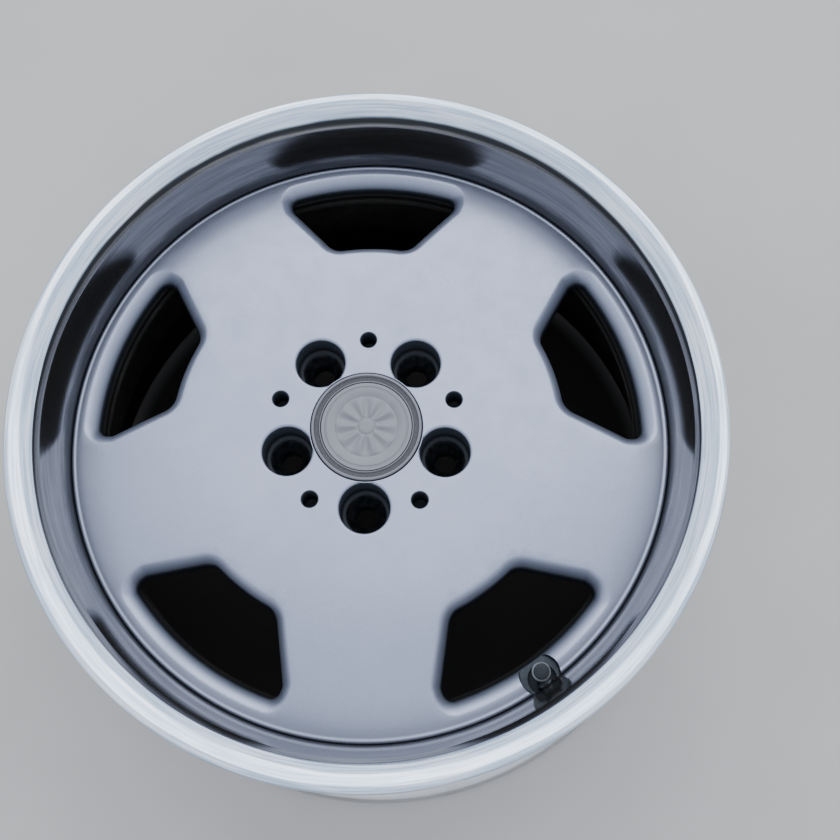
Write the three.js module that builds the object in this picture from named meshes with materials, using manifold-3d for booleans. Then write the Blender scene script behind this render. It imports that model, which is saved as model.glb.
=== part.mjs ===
// A forged three-piece racing wheel, 17 x 8.5 J, with a deep polished lip.
//
// The wheel lies on its inboard flange. +Z is the wheel's axis and points to the outboard (street) side.
// The origin is the centre of the circle that the inboard flange rests on. Millimetres and degrees.
//
// A forged centre disc is clamped to an outer and an inner rim half by hidden bolts from the brake side.
// A snap-in cap closes the hub, and an angled clamp-in valve stands in a round pocket at the disc's edge.

import * as THREE from "three";
import { mergeVertices } from "three/addons/utils/BufferGeometryUtils.js";
import Module from "manifold-3d";

const wasm = await Module();
wasm.setup();

// ---------------------------------------------------------------- driving dimensions

const GAP = 0.3; // between pieces that touch in the real wheel
const OVERRUN = 10; // of a cutter past the faces that it cuts
const RIM_STEPS = 48; // facets round the disc and both rim halves

// The rim, after the J contour for a 17-inch bead seat
const BEAD_SEAT_R = 218.3; // 436.6 mm bead seat diameter
const FLANGE_HEIGHT = 17.3;
const FLANGE_WIDTH = 13;
const FLANGE_CURVE_R = 9.5;
const RIM_WIDTH = 216; // between the bead faces: 8.5 inch
const WIDTH = RIM_WIDTH + 2 * FLANGE_WIDTH;
const RIM_R = BEAD_SEAT_R + FLANGE_HEIGHT;
const SEAT_RUN = 19.5; // length of the bead seat
const SEAT_ANGLE = 5;
const SEAT_END_R = BEAD_SEAT_R - SEAT_RUN * Math.tan(THREE.MathUtils.degToRad(SEAT_ANGLE));
const BEAD_HEEL = 2.4; // bevel between the bead face and the seat
const HUMP = 0.7; // height of the safety hump over the seat's end
const HUMP_RUN = 7;

// The barrel between the bead seats
const WALL_T = 4.5;
const WELL_R = 200.8; // drop centre, 17.5 mm under the bead seat
const WELL_FOOT_Z = 96;
const WELL_TOP_Z = 146;
const CONE_FOOT_R = 213; // the cone from the inboard seat down to the drop centre
const CONE_FOOT_Z = 48;
const NECK_R = 204.2; // between the drop centre and the clamped flange
const NECK_Z = 153;
const ROOT_R = 213.5; // thick root of the outer half, round the valve hole
const ROOT_RISE = 12; // over the seam
const ROOT_TOP_Z = 195;

// The dish, from the lip down to the disc
const LIP_ROUND = 2.8; // rounding of the lip's free edge
const LIP_CREST_R = 229.5; // inner edge of the lip's flat crest
const LIP_SLOPE_R = 224;
const LIP_SLOPE_DROP = 3; // drops are below the lip's crest
const LIP_CORNER_R = 218.3;
const LIP_CORNER_DROP = 8;
const DISH_EDGE_R = 215.9;
const DISH_EDGE_DROP = 11;
const DISH_TOP_R = 214.6;
const DISH_TOP_DROP = 15;
const DISH_FOOT_R = 204.6;
const DISH_FOOT_RISE = 8; // over the clamping face

// The centre disc
const FACE_Z = 200; // hub face
const HUB_THICKNESS = 42; // face to hub pad, which gives the wheel its offset
const PAD_Z = FACE_Z - HUB_THICKNESS;
const DISC_R = 204.2;
const FLAT_R = 100; // the face is flat to here and then falls away
const EDGE_DROP = 10; // fall of the face at DISC_R
const FACE_BENDS = [192, 170, 140]; // radii of the facets of the falling face
const EDGE_BEVEL = 1.2;
const CLAMP_Z = 180; // back of the disc's rim, where the rim halves clamp
const HUB_BORE_R = 33.3; // 66.6 mm hub
const PAD_R = 75;
const PAD_BEVEL = 5;
const BOSS_R = 84; // the hub boss, where it meets the back
const BOSS_H = 18;
const BACK_INNER_R = 96; // the back is hollowed from here out to BACK_OUTER_R
const BACK_OUTER_R = 180;
const BACK_HOLLOW = 3.5;
const CAP_RECESS_R = 38.2;
const CAP_RECESS_Z = FACE_Z - 8;
const RECESS_BEVEL = 1;

// Windows: a four-sided outline between two arcs, with rounded corners
const SIDES = 5;
const SECTOR = 360 / SIDES;
const WINDOW_AT = 90; // the first window's direction
const WINDOW_OUTER_R = 188;
const WINDOW_INNER_R = 132;
const WINDOW_SIDE_TILT = 46.5; // of a side, from the tangent at the window's middle
const WINDOW_SIDE_OFFSET = 68.6; // of a side's line from the wheel's axis
const WINDOW_OUTER_CORNER = 10;
const WINDOW_INNER_CORNER = 13;

// Wheel bolt holes, on a 112 mm circle between the windows
const BOLT_CIRCLE_R = 56;
const BOLT_POCKET_R = 17;
const BOLT_SEAT_R = 14;
const BOLT_HOLE_R = 7.8;
const BOLT_SEAT_TOP = FACE_Z - 21;
const BOLT_SEAT_FOOT = FACE_Z - 28;

// Small blind holes, in line with the windows
const PIN_CIRCLE_R = 62.4;
const PIN_HOLE_R = 5.4;
const PIN_HOLE_DEPTH = 22;

// The clamped flanges of the rim halves and their bolts
const OUTER_FLANGE_T = 7;
const INNER_FLANGE_T = 6;
const SEAM_Z = CLAMP_Z - OUTER_FLANGE_T;
const HEAD_Z = SEAM_Z - INNER_FLANGE_T; // bolt heads seat here
const FLANGE_BORE_R = 184;
const FLANGE_OUTER_R = 207;
const RIM_BOLTS = 25;
const RIM_BOLT_CIRCLE_R = 194;
const RIM_BOLT_R = 3.3;
const RIM_BOLT_HOLE_R = 3.7;
const RIM_BOLT_HEAD_R = 5.2;
const RIM_BOLT_HEAD_H = 7;
const RIM_BOLT_TIP_Z = CLAMP_Z + 7.5;
const RIM_BOLT_TIP_GAP = 0.5; // between the bolt's tip and the end of its blind hole
const SEALANT_T = 1.6;
const SEALANT_RUN = 3;

// The valve: its shank leaves the rim wall at VALVE_TILT, then an elbow turns it to stand along the axis
const VALVE_AT = -54.6;
const VALVE_R = 196.5; // of the standing part, from the wheel's axis
const VALVE_TILT = 60; // of the shank, from the wheel's axis
const VALVE_ELBOW_R = 5;
const VALVE_WALL_R = DISH_FOOT_R; // where the shank leaves the wall
const VALVE_WALL_Z = 182.7;
const VALVE_WALL_T = 6.5; // wall thickness along the shank
const VALVE_TOP = 203;
const VALVE_TIP_R = 3.85;
const VALVE_BODY_R = 4.2;
const VALVE_BORE_R = 2.7;
const VALVE_AIR_R = 1.5;
const VALVE_HOLE_R = 4.6;
const VALVE_SHOULDER_R = 5.6;
const VALVE_SPOT_FACE_R = 6.2; // flat seat for the shoulder, sunk in the rim wall
const VALVE_POCKET_R = 13.5; // round notch in the disc's edge
const VALVE_POCKET_Z = 184.5;
const VALVE_CLEARANCE_R = 9.5; // hole in the pocket's floor, nearer to the wall
const VALVE_CLEARANCE_SHIFT = 3.1;
const VALVE_CAP_R = 6;
const VALVE_CAP_TOP = 207;
const VALVE_CAP_SKIRT = 195.5;
const VALVE_CAP_BORE_R = 4.25;
const VALVE_CAP_BEVEL = 1.2;
const VALVE_CAP_CEILING = VALVE_TOP + 1.6;
const VALVE_SEAL_R = 3.7;

// ---------------------------------------------------------------- helpers

const rad = THREE.MathUtils.degToRad;
const at = (r, degrees, z = 0) =>
  new THREE.Vector3(r * Math.cos(rad(degrees)), r * Math.sin(rad(degrees)), z);

// A profile of [radius, height] pairs turned about Z. Off the axis it closes on itself.
function turned(profile, steps) {
  const points = profile.map(([r, z]) => new THREE.Vector2(r, z));
  if (profile[0][0] > 0) points.push(points[0].clone());
  return new THREE.LatheGeometry(points, steps).rotateX(Math.PI / 2);
}

// [radius, height] pairs on an arc in the profile's plane, both ends included.
function arc(r, z, radius, from, to, steps) {
  return Array.from({ length: steps + 1 }, (_, i) => {
    const a = rad(from + ((to - from) * i) / steps);
    return [r + radius * Math.cos(a), z + radius * Math.sin(a)];
  });
}

const round = (radius, bottom, top, steps) =>
  turned([[0, bottom], [radius, bottom], [radius, top], [0, top]], steps);

function solid(geometry) {
  const bare = geometry.clone();
  bare.deleteAttribute("normal");
  bare.deleteAttribute("uv");
  const merged = mergeVertices(bare, 1e-3);
  return new wasm.Manifold(
    new wasm.Mesh({
      numProp: 3,
      vertProperties: merged.attributes.position.array,
      triVerts: new Uint32Array(merged.index.array),
    }),
  );
}

function geometryOf(body) {
  const { vertProperties, triVerts } = body.getMesh();
  const geometry = new THREE.BufferGeometry();
  geometry.setAttribute("position", new THREE.BufferAttribute(vertProperties, 3));
  geometry.setIndex(new THREE.BufferAttribute(triVerts, 1));
  geometry.computeVertexNormals();
  return geometry;
}

// The first geometry with the others cut away.
function cut(geometry, cutters) {
  const waste = cutters.map(solid).reduce((all, one) => all.add(one));
  return geometryOf(solid(geometry).subtract(waste));
}

const joined = (...pieces) =>
  geometryOf(pieces.map(solid).reduce((all, one) => all.add(one)));

// ---------------------------------------------------------------- materials

const metal = (color, roughness) =>
  new THREE.MeshStandardMaterial({ color, roughness, metalness: 1 });
const rubber = new THREE.MeshStandardMaterial({ color: 0x151516, roughness: 0.75, metalness: 0 });
const silverPaint = new THREE.MeshStandardMaterial({ color: 0xaab0bc, roughness: 0.38, metalness: 0.7 });
const capPaint = new THREE.MeshStandardMaterial({ color: 0xa9aaac, roughness: 0.45, metalness: 0.6 });
const sealant = new THREE.MeshStandardMaterial({ color: 0xb9b9b4, roughness: 0.6, metalness: 0 });
const capPlastic = new THREE.MeshStandardMaterial({ color: 0x1a1b1d, roughness: 0.4, metalness: 0 });
const polished = metal(0xd9dbde, 0.08);
const machined = metal(0xb4b6b8, 0.32);
const zinc = metal(0x9a9c9e, 0.35);
const springSteel = metal(0x8b8c90, 0.25);
const brass = metal(0xb5913c, 0.3);

const wheel = new THREE.Group();

function add(name, geometry, material, parent = wheel) {
  const mesh = new THREE.Mesh(geometry, material);
  mesh.name = name;
  parent.add(mesh);
  return mesh;
}

// ---------------------------------------------------------------- centre disc

const faceZ = (r) => FACE_Z - EDGE_DROP * (Math.max(0, r - FLAT_R) / (DISC_R - FLAT_R)) ** 2;

const windowDirections = Array.from({ length: SIDES }, (_, i) => WINDOW_AT + i * SECTOR);
const boltDirections = windowDirections.map((a) => a + SECTOR / 2);
const rimBoltDirections = Array.from(
  { length: RIM_BOLTS },
  (_, i) => WINDOW_AT + ((i + 0.5) * 360) / RIM_BOLTS,
);

// The outline of the window in direction +Y. The right side's line has the outward normal `normal`.
function windowShape() {
  const tilt = rad(WINDOW_SIDE_TILT);
  const along = new THREE.Vector2(Math.cos(tilt), Math.sin(tilt));
  const normal = new THREE.Vector2(Math.sin(tilt), -Math.cos(tilt));
  // The centre of a corner circle that touches the side's line and lies at `reach` from the axis
  const cornerCentre = (reach, radius) => {
    const off = -WINDOW_SIDE_OFFSET - radius;
    const run = Math.sqrt(reach ** 2 - off ** 2);
    return normal.clone().multiplyScalar(off).addScaledVector(along, run);
  };
  const outer = cornerCentre(WINDOW_OUTER_R - WINDOW_OUTER_CORNER, WINDOW_OUTER_CORNER);
  const inner = cornerCentre(WINDOW_INNER_R + WINDOW_INNER_CORNER, WINDOW_INNER_CORNER);
  const sideAngle = normal.angle() - 2 * Math.PI; // direction of `normal`, between -90 and 0
  const outerAngle = outer.angle();
  const innerAngle = inner.angle();
  const shape = new THREE.Shape();
  shape.absarc(0, 0, WINDOW_OUTER_R, outerAngle, Math.PI - outerAngle);
  shape.absarc(-outer.x, outer.y, WINDOW_OUTER_CORNER, Math.PI - outerAngle, Math.PI - sideAngle);
  shape.absarc(-inner.x, inner.y, WINDOW_INNER_CORNER, Math.PI - sideAngle, 2 * Math.PI - innerAngle);
  shape.absarc(0, 0, WINDOW_INNER_R, Math.PI - innerAngle, innerAngle, true);
  shape.absarc(inner.x, inner.y, WINDOW_INNER_CORNER, innerAngle - Math.PI, sideAngle);
  shape.absarc(outer.x, outer.y, WINDOW_OUTER_CORNER, sideAngle, outerAngle);
  return shape;
}

function discProfile() {
  return [
    [HUB_BORE_R, PAD_Z],
    [PAD_R, PAD_Z],
    [PAD_R + PAD_BEVEL, PAD_Z + PAD_BEVEL],
    [BOSS_R, PAD_Z + BOSS_H],
    [BACK_INNER_R, CLAMP_Z + BACK_HOLLOW],
    [BACK_OUTER_R, CLAMP_Z],
    [DISC_R, CLAMP_Z],
    [DISC_R, faceZ(DISC_R) - EDGE_BEVEL],
    ...[DISC_R - EDGE_BEVEL, ...FACE_BENDS, FLAT_R].map((r) => [r, faceZ(r)]),
    [CAP_RECESS_R + RECESS_BEVEL, FACE_Z],
    [CAP_RECESS_R, FACE_Z - RECESS_BEVEL],
    [CAP_RECESS_R, CAP_RECESS_Z],
    [HUB_BORE_R, CAP_RECESS_Z],
  ];
}

function centreDisc() {
  const below = PAD_Z - OVERRUN;
  const above = FACE_Z + OVERRUN;
  const window = new THREE.ExtrudeGeometry(windowShape(), {
    depth: above - below,
    bevelEnabled: false,
    curveSegments: 3,
  }).translate(0, 0, below);
  const boltHole = turned(
    [
      [0, below],
      [BOLT_HOLE_R, below],
      [BOLT_HOLE_R, BOLT_SEAT_FOOT],
      [BOLT_SEAT_R, BOLT_SEAT_TOP],
      [BOLT_POCKET_R, BOLT_SEAT_TOP],
      [BOLT_POCKET_R, above],
      [0, above],
    ],
    16,
  );
  const pinHole = round(PIN_HOLE_R, FACE_Z - PIN_HOLE_DEPTH, above, 12);
  const rimBoltHole = round(RIM_BOLT_HOLE_R, CLAMP_Z - OVERRUN, RIM_BOLT_TIP_Z + RIM_BOLT_TIP_GAP, 8);
  const placed = (geometry, r, angle) =>
    geometry.clone().rotateZ(rad(angle)).translate(...at(r, angle).toArray());
  const valve = [
    round(VALVE_POCKET_R, VALVE_POCKET_Z, above, 20),
    round(VALVE_CLEARANCE_R, below, above, 16).translate(VALVE_CLEARANCE_SHIFT, 0, 0),
  ];
  return cut(turned(discProfile(), RIM_STEPS), [
    ...windowDirections.map((a) => window.clone().rotateZ(rad(a - 90))),
    ...boltDirections.map((a) => placed(boltHole, BOLT_CIRCLE_R, a)),
    ...windowDirections.map((a) => placed(pinHole, PIN_CIRCLE_R, a)),
    ...rimBoltDirections.map((a) => placed(rimBoltHole, RIM_BOLT_CIRCLE_R, a)),
    ...valve.map((v) => placed(v, VALVE_R, VALVE_AT)),
  ]);
}

// ---------------------------------------------------------------- rim halves

// One bead side, from the flange's free edge to the end of the bead seat, with its face at height 0
// and the flange above it. The outboard side is used as it is and the inboard side upside down.
const beadSide = {
  lip: [
    ...arc(RIM_R - LIP_ROUND, FLANGE_WIDTH - LIP_ROUND, LIP_ROUND, 30, 90, 1),
    [LIP_CREST_R, FLANGE_WIDTH],
    [LIP_SLOPE_R, FLANGE_WIDTH - LIP_SLOPE_DROP],
    [LIP_CORNER_R, FLANGE_WIDTH - LIP_CORNER_DROP],
    [DISH_EDGE_R, FLANGE_WIDTH - DISH_EDGE_DROP],
    [DISH_TOP_R, FLANGE_WIDTH - DISH_TOP_DROP],
  ],
  seat: [
    [SEAT_END_R - 2 * HUMP, -SEAT_RUN - HUMP_RUN],
    [SEAT_END_R + HUMP, -SEAT_RUN - HUMP_RUN / 2],
    [SEAT_END_R, -SEAT_RUN],
    [BEAD_SEAT_R, -BEAD_HEEL],
    [BEAD_SEAT_R + BEAD_HEEL, 0],
    ...arc(RIM_R - FLANGE_CURVE_R, FLANGE_CURVE_R, FLANGE_CURVE_R, -90, 0, 2),
  ],
};

const lifted = (points, z) => points.map(([r, h]) => [r, z + h]);
const flipped = (points, z) => points.map(([r, h]) => [r, z - h]).reverse();

function outerRimHalf() {
  const beadFace = WIDTH - FLANGE_WIDTH;
  const profile = [
    [FLANGE_BORE_R, SEAM_Z],
    [FLANGE_OUTER_R - GAP, SEAM_Z],
    [ROOT_R, SEAM_Z + ROOT_RISE],
    [ROOT_R, ROOT_TOP_Z],
    ...lifted(beadSide.seat, beadFace),
    ...lifted(beadSide.lip, beadFace),
    [DISH_FOOT_R, CLAMP_Z + DISH_FOOT_RISE],
    [DISH_FOOT_R, CLAMP_Z - GAP],
    [FLANGE_BORE_R, CLAMP_Z - GAP],
  ];
  const boltHole = round(RIM_BOLT_HOLE_R, SEAM_Z - OVERRUN, CLAMP_Z + OVERRUN, 8);
  const shankHole = valveTurned(round(VALVE_HOLE_R, -VALVE_WALL_T - OVERRUN, OVERRUN / 2, 16));
  const spotFace = valveTurned(round(VALVE_SPOT_FACE_R, 0, OVERRUN, 16));
  return cut(turned(profile, RIM_STEPS), [
    ...rimBoltDirections.map((a) =>
      boltHole.clone().rotateZ(rad(a)).translate(...at(RIM_BOLT_CIRCLE_R, a).toArray()),
    ),
    shankHole.rotateZ(rad(VALVE_AT)),
    spotFace.rotateZ(rad(VALVE_AT)),
  ]);
}

function innerRimHalf() {
  const top = SEAM_Z - GAP;
  const profile = [
    ...flipped(beadSide.lip, FLANGE_WIDTH),
    ...flipped(beadSide.seat, FLANGE_WIDTH),
    [CONE_FOOT_R, CONE_FOOT_Z],
    [WELL_R, WELL_FOOT_Z],
    [WELL_R, WELL_TOP_Z],
    [NECK_R, NECK_Z],
    [NECK_R, HEAD_Z - 2],
    [FLANGE_OUTER_R, HEAD_Z + 1],
    [FLANGE_OUTER_R, top],
    [FLANGE_BORE_R, top],
    [FLANGE_BORE_R, HEAD_Z],
    [NECK_R - WALL_T, HEAD_Z],
    [NECK_R - WALL_T, NECK_Z + 1],
    [WELL_R - WALL_T, WELL_TOP_Z + 1],
    [WELL_R - WALL_T, WELL_FOOT_Z + 1],
    [CONE_FOOT_R - WALL_T, CONE_FOOT_Z],
  ];
  const boltHole = round(RIM_BOLT_HOLE_R, HEAD_Z - OVERRUN, CLAMP_Z, 8);
  return cut(
    turned(profile, RIM_STEPS),
    rimBoltDirections.map((a) =>
      boltHole.clone().rotateZ(rad(a)).translate(...at(RIM_BOLT_CIRCLE_R, a).toArray()),
    ),
  );
}

// A rounded fillet of sealant over the seam.
function sealantBead() {
  const inner = FLANGE_OUTER_R + GAP;
  return turned(
    [
      [inner, SEAM_Z - SEALANT_RUN],
      [inner + SEALANT_T, SEAM_Z - SEALANT_RUN / 2],
      [inner + SEALANT_T / 2, SEAM_Z + GAP],
    ],
    RIM_STEPS,
  );
}

// ---------------------------------------------------------------- rim bolts

const rimBolt = () =>
  turned(
    [
      [0, HEAD_Z - GAP - RIM_BOLT_HEAD_H],
      [RIM_BOLT_HEAD_R, HEAD_Z - GAP - RIM_BOLT_HEAD_H],
      [RIM_BOLT_HEAD_R, HEAD_Z - GAP],
      [RIM_BOLT_R, HEAD_Z - GAP],
      [RIM_BOLT_R, RIM_BOLT_TIP_Z],
      [0, RIM_BOLT_TIP_Z],
    ],
    8,
  );

// ---------------------------------------------------------------- centre cap

const CAP_R = CAP_RECESS_R - 0.6;
const CAP_TOP = FACE_Z + 1.4;
const CAP_PLATE_Z = FACE_Z - 4.7; // underside of the cap's plate
const CAP_FLOOR_Z = FACE_Z - 1.6; // the badge's seat
const CAP_BEVEL = 0.8;
const CAP_BADGE_R = 31.2;
const BADGE_RIM_R = 26; // the badge's field lies inside this, a step lower
const BADGE_RIM_DROP = 0.8; // drops are below the cap's top
const BADGE_FIELD_DROP = 1.3;
const BADGE_BOSS_R = 11;
const BADGE_BOSS_DROP = 0.6;
const CAP_LEG_FOOT = FACE_Z - 21;
const CAP_LEG_OUTER_R = 32.8;
const CAP_LEG_INNER_R = 30.2;
const CAP_LEGS = 6;
const CAP_SLOT = 12; // between two legs
const CAP_SLOT_TOP = CAP_RECESS_Z - 2;
const CAP_RING_R = 0.9; // of the retaining ring's wire
const CAP_RING_Z = CAP_LEG_FOOT + 4;
const CAP_STEPS = 30;

function capHousing() {
  const body = turned(
    [
      [0, CAP_PLATE_Z],
      [CAP_LEG_INNER_R, CAP_PLATE_Z],
      [CAP_LEG_INNER_R, CAP_LEG_FOOT],
      [CAP_LEG_OUTER_R, CAP_LEG_FOOT],
      [CAP_LEG_OUTER_R, CAP_RECESS_Z + GAP],
      [CAP_R, CAP_RECESS_Z + GAP],
      [CAP_R, CAP_TOP - CAP_BEVEL],
      [CAP_R - CAP_BEVEL, CAP_TOP],
      [CAP_BADGE_R + CAP_BEVEL / 2, CAP_TOP],
      [CAP_BADGE_R, CAP_FLOOR_Z],
      [0, CAP_FLOOR_Z],
    ],
    CAP_STEPS,
  );
  const slots = Array.from({ length: CAP_LEGS / 2 }, (_, i) =>
    new THREE.BoxGeometry(3 * CAP_R, CAP_SLOT, 2 * (CAP_SLOT_TOP - CAP_LEG_FOOT))
      .translate(0, 0, CAP_LEG_FOOT)
      .rotateZ(rad(((i + 0.5) * 360) / CAP_LEGS)),
  );
  return cut(body, slots);
}

const capBadge = () =>
  turned(
    [
      [0, CAP_FLOOR_Z + GAP],
      [CAP_BADGE_R - GAP, CAP_FLOOR_Z + GAP],
      [CAP_BADGE_R - GAP, CAP_TOP - BADGE_RIM_DROP],
      [BADGE_RIM_R, CAP_TOP - BADGE_RIM_DROP],
      [BADGE_RIM_R - 1, CAP_TOP - BADGE_FIELD_DROP],
      [BADGE_BOSS_R + 1, CAP_TOP - BADGE_FIELD_DROP],
      [BADGE_BOSS_R, CAP_TOP - BADGE_BOSS_DROP],
      [0, CAP_TOP - BADGE_BOSS_DROP / 2],
    ],
    CAP_STEPS,
  );

const capRetainingRing = () =>
  turned(arc(CAP_LEG_INNER_R - GAP - CAP_RING_R, CAP_RING_Z, CAP_RING_R, 0, 270, 3), CAP_STEPS);

// ---------------------------------------------------------------- valve

// Turns a shape made along +Z so that it stands on the rim wall along the shank's axis, pointing into
// the dish. It is still in the plane of +X, which the caller turns to the valve's direction.
function valveTurned(geometry) {
  return geometry.rotateY(-rad(VALVE_TILT)).translate(VALVE_WALL_R, 0, VALVE_WALL_Z);
}

// Turns a shape made in the plane of +X to the valve's direction.
const atValve = (geometry) => geometry.rotateZ(rad(VALVE_AT));

// A turned shape on the standing part's axis.
const upright = (profile, steps = 12) => atValve(turned(profile, steps).translate(VALVE_R, 0, 0));

// A turned shape on the shank's axis, with height 0 at the dish side of the rim wall.
const onShank = (profile, steps = 12) => atValve(valveTurned(turned(profile, steps)));

const tube = (inner, outer, bottom, top) => [
  [inner, bottom],
  [outer, bottom],
  [outer, top],
  [inner, top],
];

const rod = (radius, bottom, top) => tube(0, radius, bottom, top);

const elbowZ = VALVE_WALL_Z + (VALVE_WALL_R - VALVE_R) / Math.tan(rad(VALVE_TILT));
const GROMMET_T = 1;
const SHOULDER_T = 2.2;
const SHOULDER_BEVEL = 0.4;
const WASHER_T = 1.2;
const WASHER_R = 5.4;
const NUT_T = 4;
const NUT_R = 5.77; // over the corners
const SHANK_R = 4.1;
const SHANK_REACH = (VALVE_WALL_R - VALVE_R) / Math.sin(rad(VALVE_TILT)); // from the wall to the elbow
const shankEnd = -(VALVE_WALL_T + GAP + WASHER_T + GAP + NUT_T + 1);
const coreBoreZ = elbowZ + 3;

function valveStem() {
  const shoulder = GAP + GROMMET_T + GAP;
  const shank = onShank([
    [0, shankEnd],
    [SHANK_R, shankEnd],
    [SHANK_R, shoulder],
    [VALVE_SHOULDER_R, shoulder],
    [VALVE_SHOULDER_R, shoulder + SHOULDER_T],
    [SHANK_R, shoulder + SHOULDER_T + SHOULDER_BEVEL],
    [SHANK_R, SHANK_REACH],
    [0, SHANK_REACH],
  ]);
  const elbow = new THREE.SphereGeometry(VALVE_ELBOW_R, 12, 8)
    .rotateX(Math.PI / 2)
    .translate(VALVE_R, 0, elbowZ);
  const standing = upright([
    [0, elbowZ],
    [VALVE_BODY_R, elbowZ],
    [VALVE_BODY_R, VALVE_CAP_SKIRT - 1 - SHOULDER_BEVEL],
    [VALVE_TIP_R, VALVE_CAP_SKIRT - 1],
    [VALVE_TIP_R, VALVE_TOP],
    [0, VALVE_TOP],
  ]);
  const passage = [
    onShank(rod(VALVE_AIR_R, shankEnd - OVERRUN, SHANK_REACH), 10),
    upright(rod(VALVE_AIR_R, elbowZ, coreBoreZ + 1), 10),
    upright(rod(VALVE_BORE_R, coreBoreZ, VALVE_TOP + OVERRUN)),
  ];
  return cut(joined(shank, atValve(elbow), standing), passage);
}

function valveNut(top) {
  const hexagon = onShank(rod(NUT_R, top - NUT_T, top), 6);
  const bore = onShank(rod(SHANK_R + GAP, top - OVERRUN, top + OVERRUN));
  return cut(hexagon, [bore]);
}

const CORE_R = VALVE_BORE_R - GAP;
const CORE_INNER_R = 1.8;
const CORE_FLOOR_Z = coreBoreZ + 2.9;
const CORE_FLOOR_T = 0.7;
const CORE_TOP = VALVE_TOP - 1.2;
const PIN_R = 0.5;
const PIN_PLAY = 0.35; // round the pin, in the core's floor
const PIN_TOP = VALVE_TOP - 0.4;
const PLUNGER_R = 1.5;
const PLUNGER_T = 1;
const PIN_COLLAR_R = 1.45;
const PIN_COLLAR_T = 0.6;
const PIN_COLLAR_Z = CORE_TOP - 1.4;
const SPRING_R = 1.15;
const SPRING_WIRE_R = 0.2;
const SPRING_TURNS = 4;

const valveCoreBody = () =>
  upright([
    [PIN_R + PIN_PLAY, CORE_FLOOR_Z],
    [CORE_R, CORE_FLOOR_Z],
    [CORE_R, CORE_TOP],
    [CORE_INNER_R, CORE_TOP],
    [CORE_INNER_R, CORE_FLOOR_Z + CORE_FLOOR_T],
    [PIN_R + PIN_PLAY, CORE_FLOOR_Z + CORE_FLOOR_T],
  ]);

// The pin, with the plunger that closes the core's floor from below and the collar that its spring lifts.
function valveCorePin() {
  const seat = CORE_FLOOR_Z - GAP;
  return upright([
    [0, seat - PLUNGER_T],
    [PLUNGER_R, seat - PLUNGER_T],
    [PLUNGER_R, seat],
    [PIN_R, seat],
    [PIN_R, PIN_COLLAR_Z],
    [PIN_COLLAR_R, PIN_COLLAR_Z],
    [PIN_COLLAR_R, PIN_COLLAR_Z + PIN_COLLAR_T],
    [PIN_R, PIN_COLLAR_Z + PIN_COLLAR_T],
    [PIN_R, PIN_TOP],
    [0, PIN_TOP],
  ]);
}

class Helix extends THREE.Curve {
  constructor(radius, bottom, top, turns) {
    super();
    Object.assign(this, { radius, bottom, top, turns });
  }
  getPoint(t, target = new THREE.Vector3()) {
    const a = 2 * Math.PI * this.turns * t;
    const z = this.bottom + (this.top - this.bottom) * t;
    return target.set(this.radius * Math.cos(a), this.radius * Math.sin(a), z);
  }
}

function valveCoreSpring() {
  const wire = new THREE.Shape();
  wire.absarc(0, 0, SPRING_WIRE_R, 0, 2 * Math.PI);
  const clear = SPRING_WIRE_R + GAP;
  const foot = CORE_FLOOR_Z + CORE_FLOOR_T + clear;
  const path = new Helix(SPRING_R, foot, PIN_COLLAR_Z - clear, SPRING_TURNS);
  const coil = new THREE.ExtrudeGeometry(wire, {
    steps: 8 * SPRING_TURNS,
    curveSegments: 3,
    extrudePath: path,
  });
  return atValve(coil.translate(VALVE_R, 0, 0));
}

const valveCap = () =>
  upright(
    [
      [0, VALVE_CAP_CEILING],
      [VALVE_CAP_BORE_R, VALVE_CAP_CEILING],
      [VALVE_CAP_BORE_R, VALVE_CAP_SKIRT],
      [VALVE_CAP_R, VALVE_CAP_SKIRT],
      [VALVE_CAP_R, VALVE_CAP_TOP - VALVE_CAP_BEVEL],
      [VALVE_CAP_R - VALVE_CAP_BEVEL, VALVE_CAP_TOP],
      [0, VALVE_CAP_TOP],
    ],
    20,
  );

const valveCapSeal = () => upright(rod(VALVE_SEAL_R, VALVE_TOP + GAP, VALVE_CAP_CEILING - GAP));

// ---------------------------------------------------------------- assembly

add("centre_disc", centreDisc(), silverPaint);
add("outer_rim_half", outerRimHalf(), polished);
add("inner_rim_half", innerRimHalf(), machined);
add("sealant_bead", sealantBead(), sealant);

rimBoltDirections.forEach((angle, i) => {
  const bolt = add("rim_bolt_" + String(i + 1).padStart(2, "0"), rimBolt(), zinc);
  bolt.position.copy(at(RIM_BOLT_CIRCLE_R, angle));
  bolt.rotation.z = rad(angle);
});

const cap = new THREE.Group();
wheel.add(cap);
add("cap_housing", capHousing(), capPaint, cap);
add("cap_badge", capBadge(), capPaint, cap);
add("cap_retaining_ring", capRetainingRing(), springSteel, cap);

const valve = new THREE.Group();
wheel.add(valve);
const behindWall = -VALVE_WALL_T - GAP;
add("valve_stem", valveStem(), brass, valve);
add("valve_grommet", onShank(tube(SHANK_R + GAP, VALVE_SHOULDER_R, GAP, GAP + GROMMET_T)), rubber, valve);
add("valve_washer", onShank(tube(SHANK_R + GAP, WASHER_R, behindWall - WASHER_T, behindWall)), zinc, valve);
const nutTop = behindWall - WASHER_T - GAP;
add("valve_nut", valveNut(nutTop), zinc, valve);
add("valve_core_body", valveCoreBody(), brass, valve);
add("valve_core_pin", valveCorePin(), brass, valve);
add("valve_core_spring", valveCoreSpring(), springSteel, valve);
add("valve_cap_seal", valveCapSeal(), rubber, valve);
add("valve_cap", valveCap(), capPlastic, valve);

export default wheel;
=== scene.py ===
"""Looks of the forged three-piece racing wheel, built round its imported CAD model.

Lengths here are millimetres and turn into metres where a mesh is made. +Z is the wheel's axis.
"""

import math

import bmesh
import bpy
import numpy as np
from mathutils import Euler, Matrix, Vector
from mathutils.geometry import delaunay_2d_cdt


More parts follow.
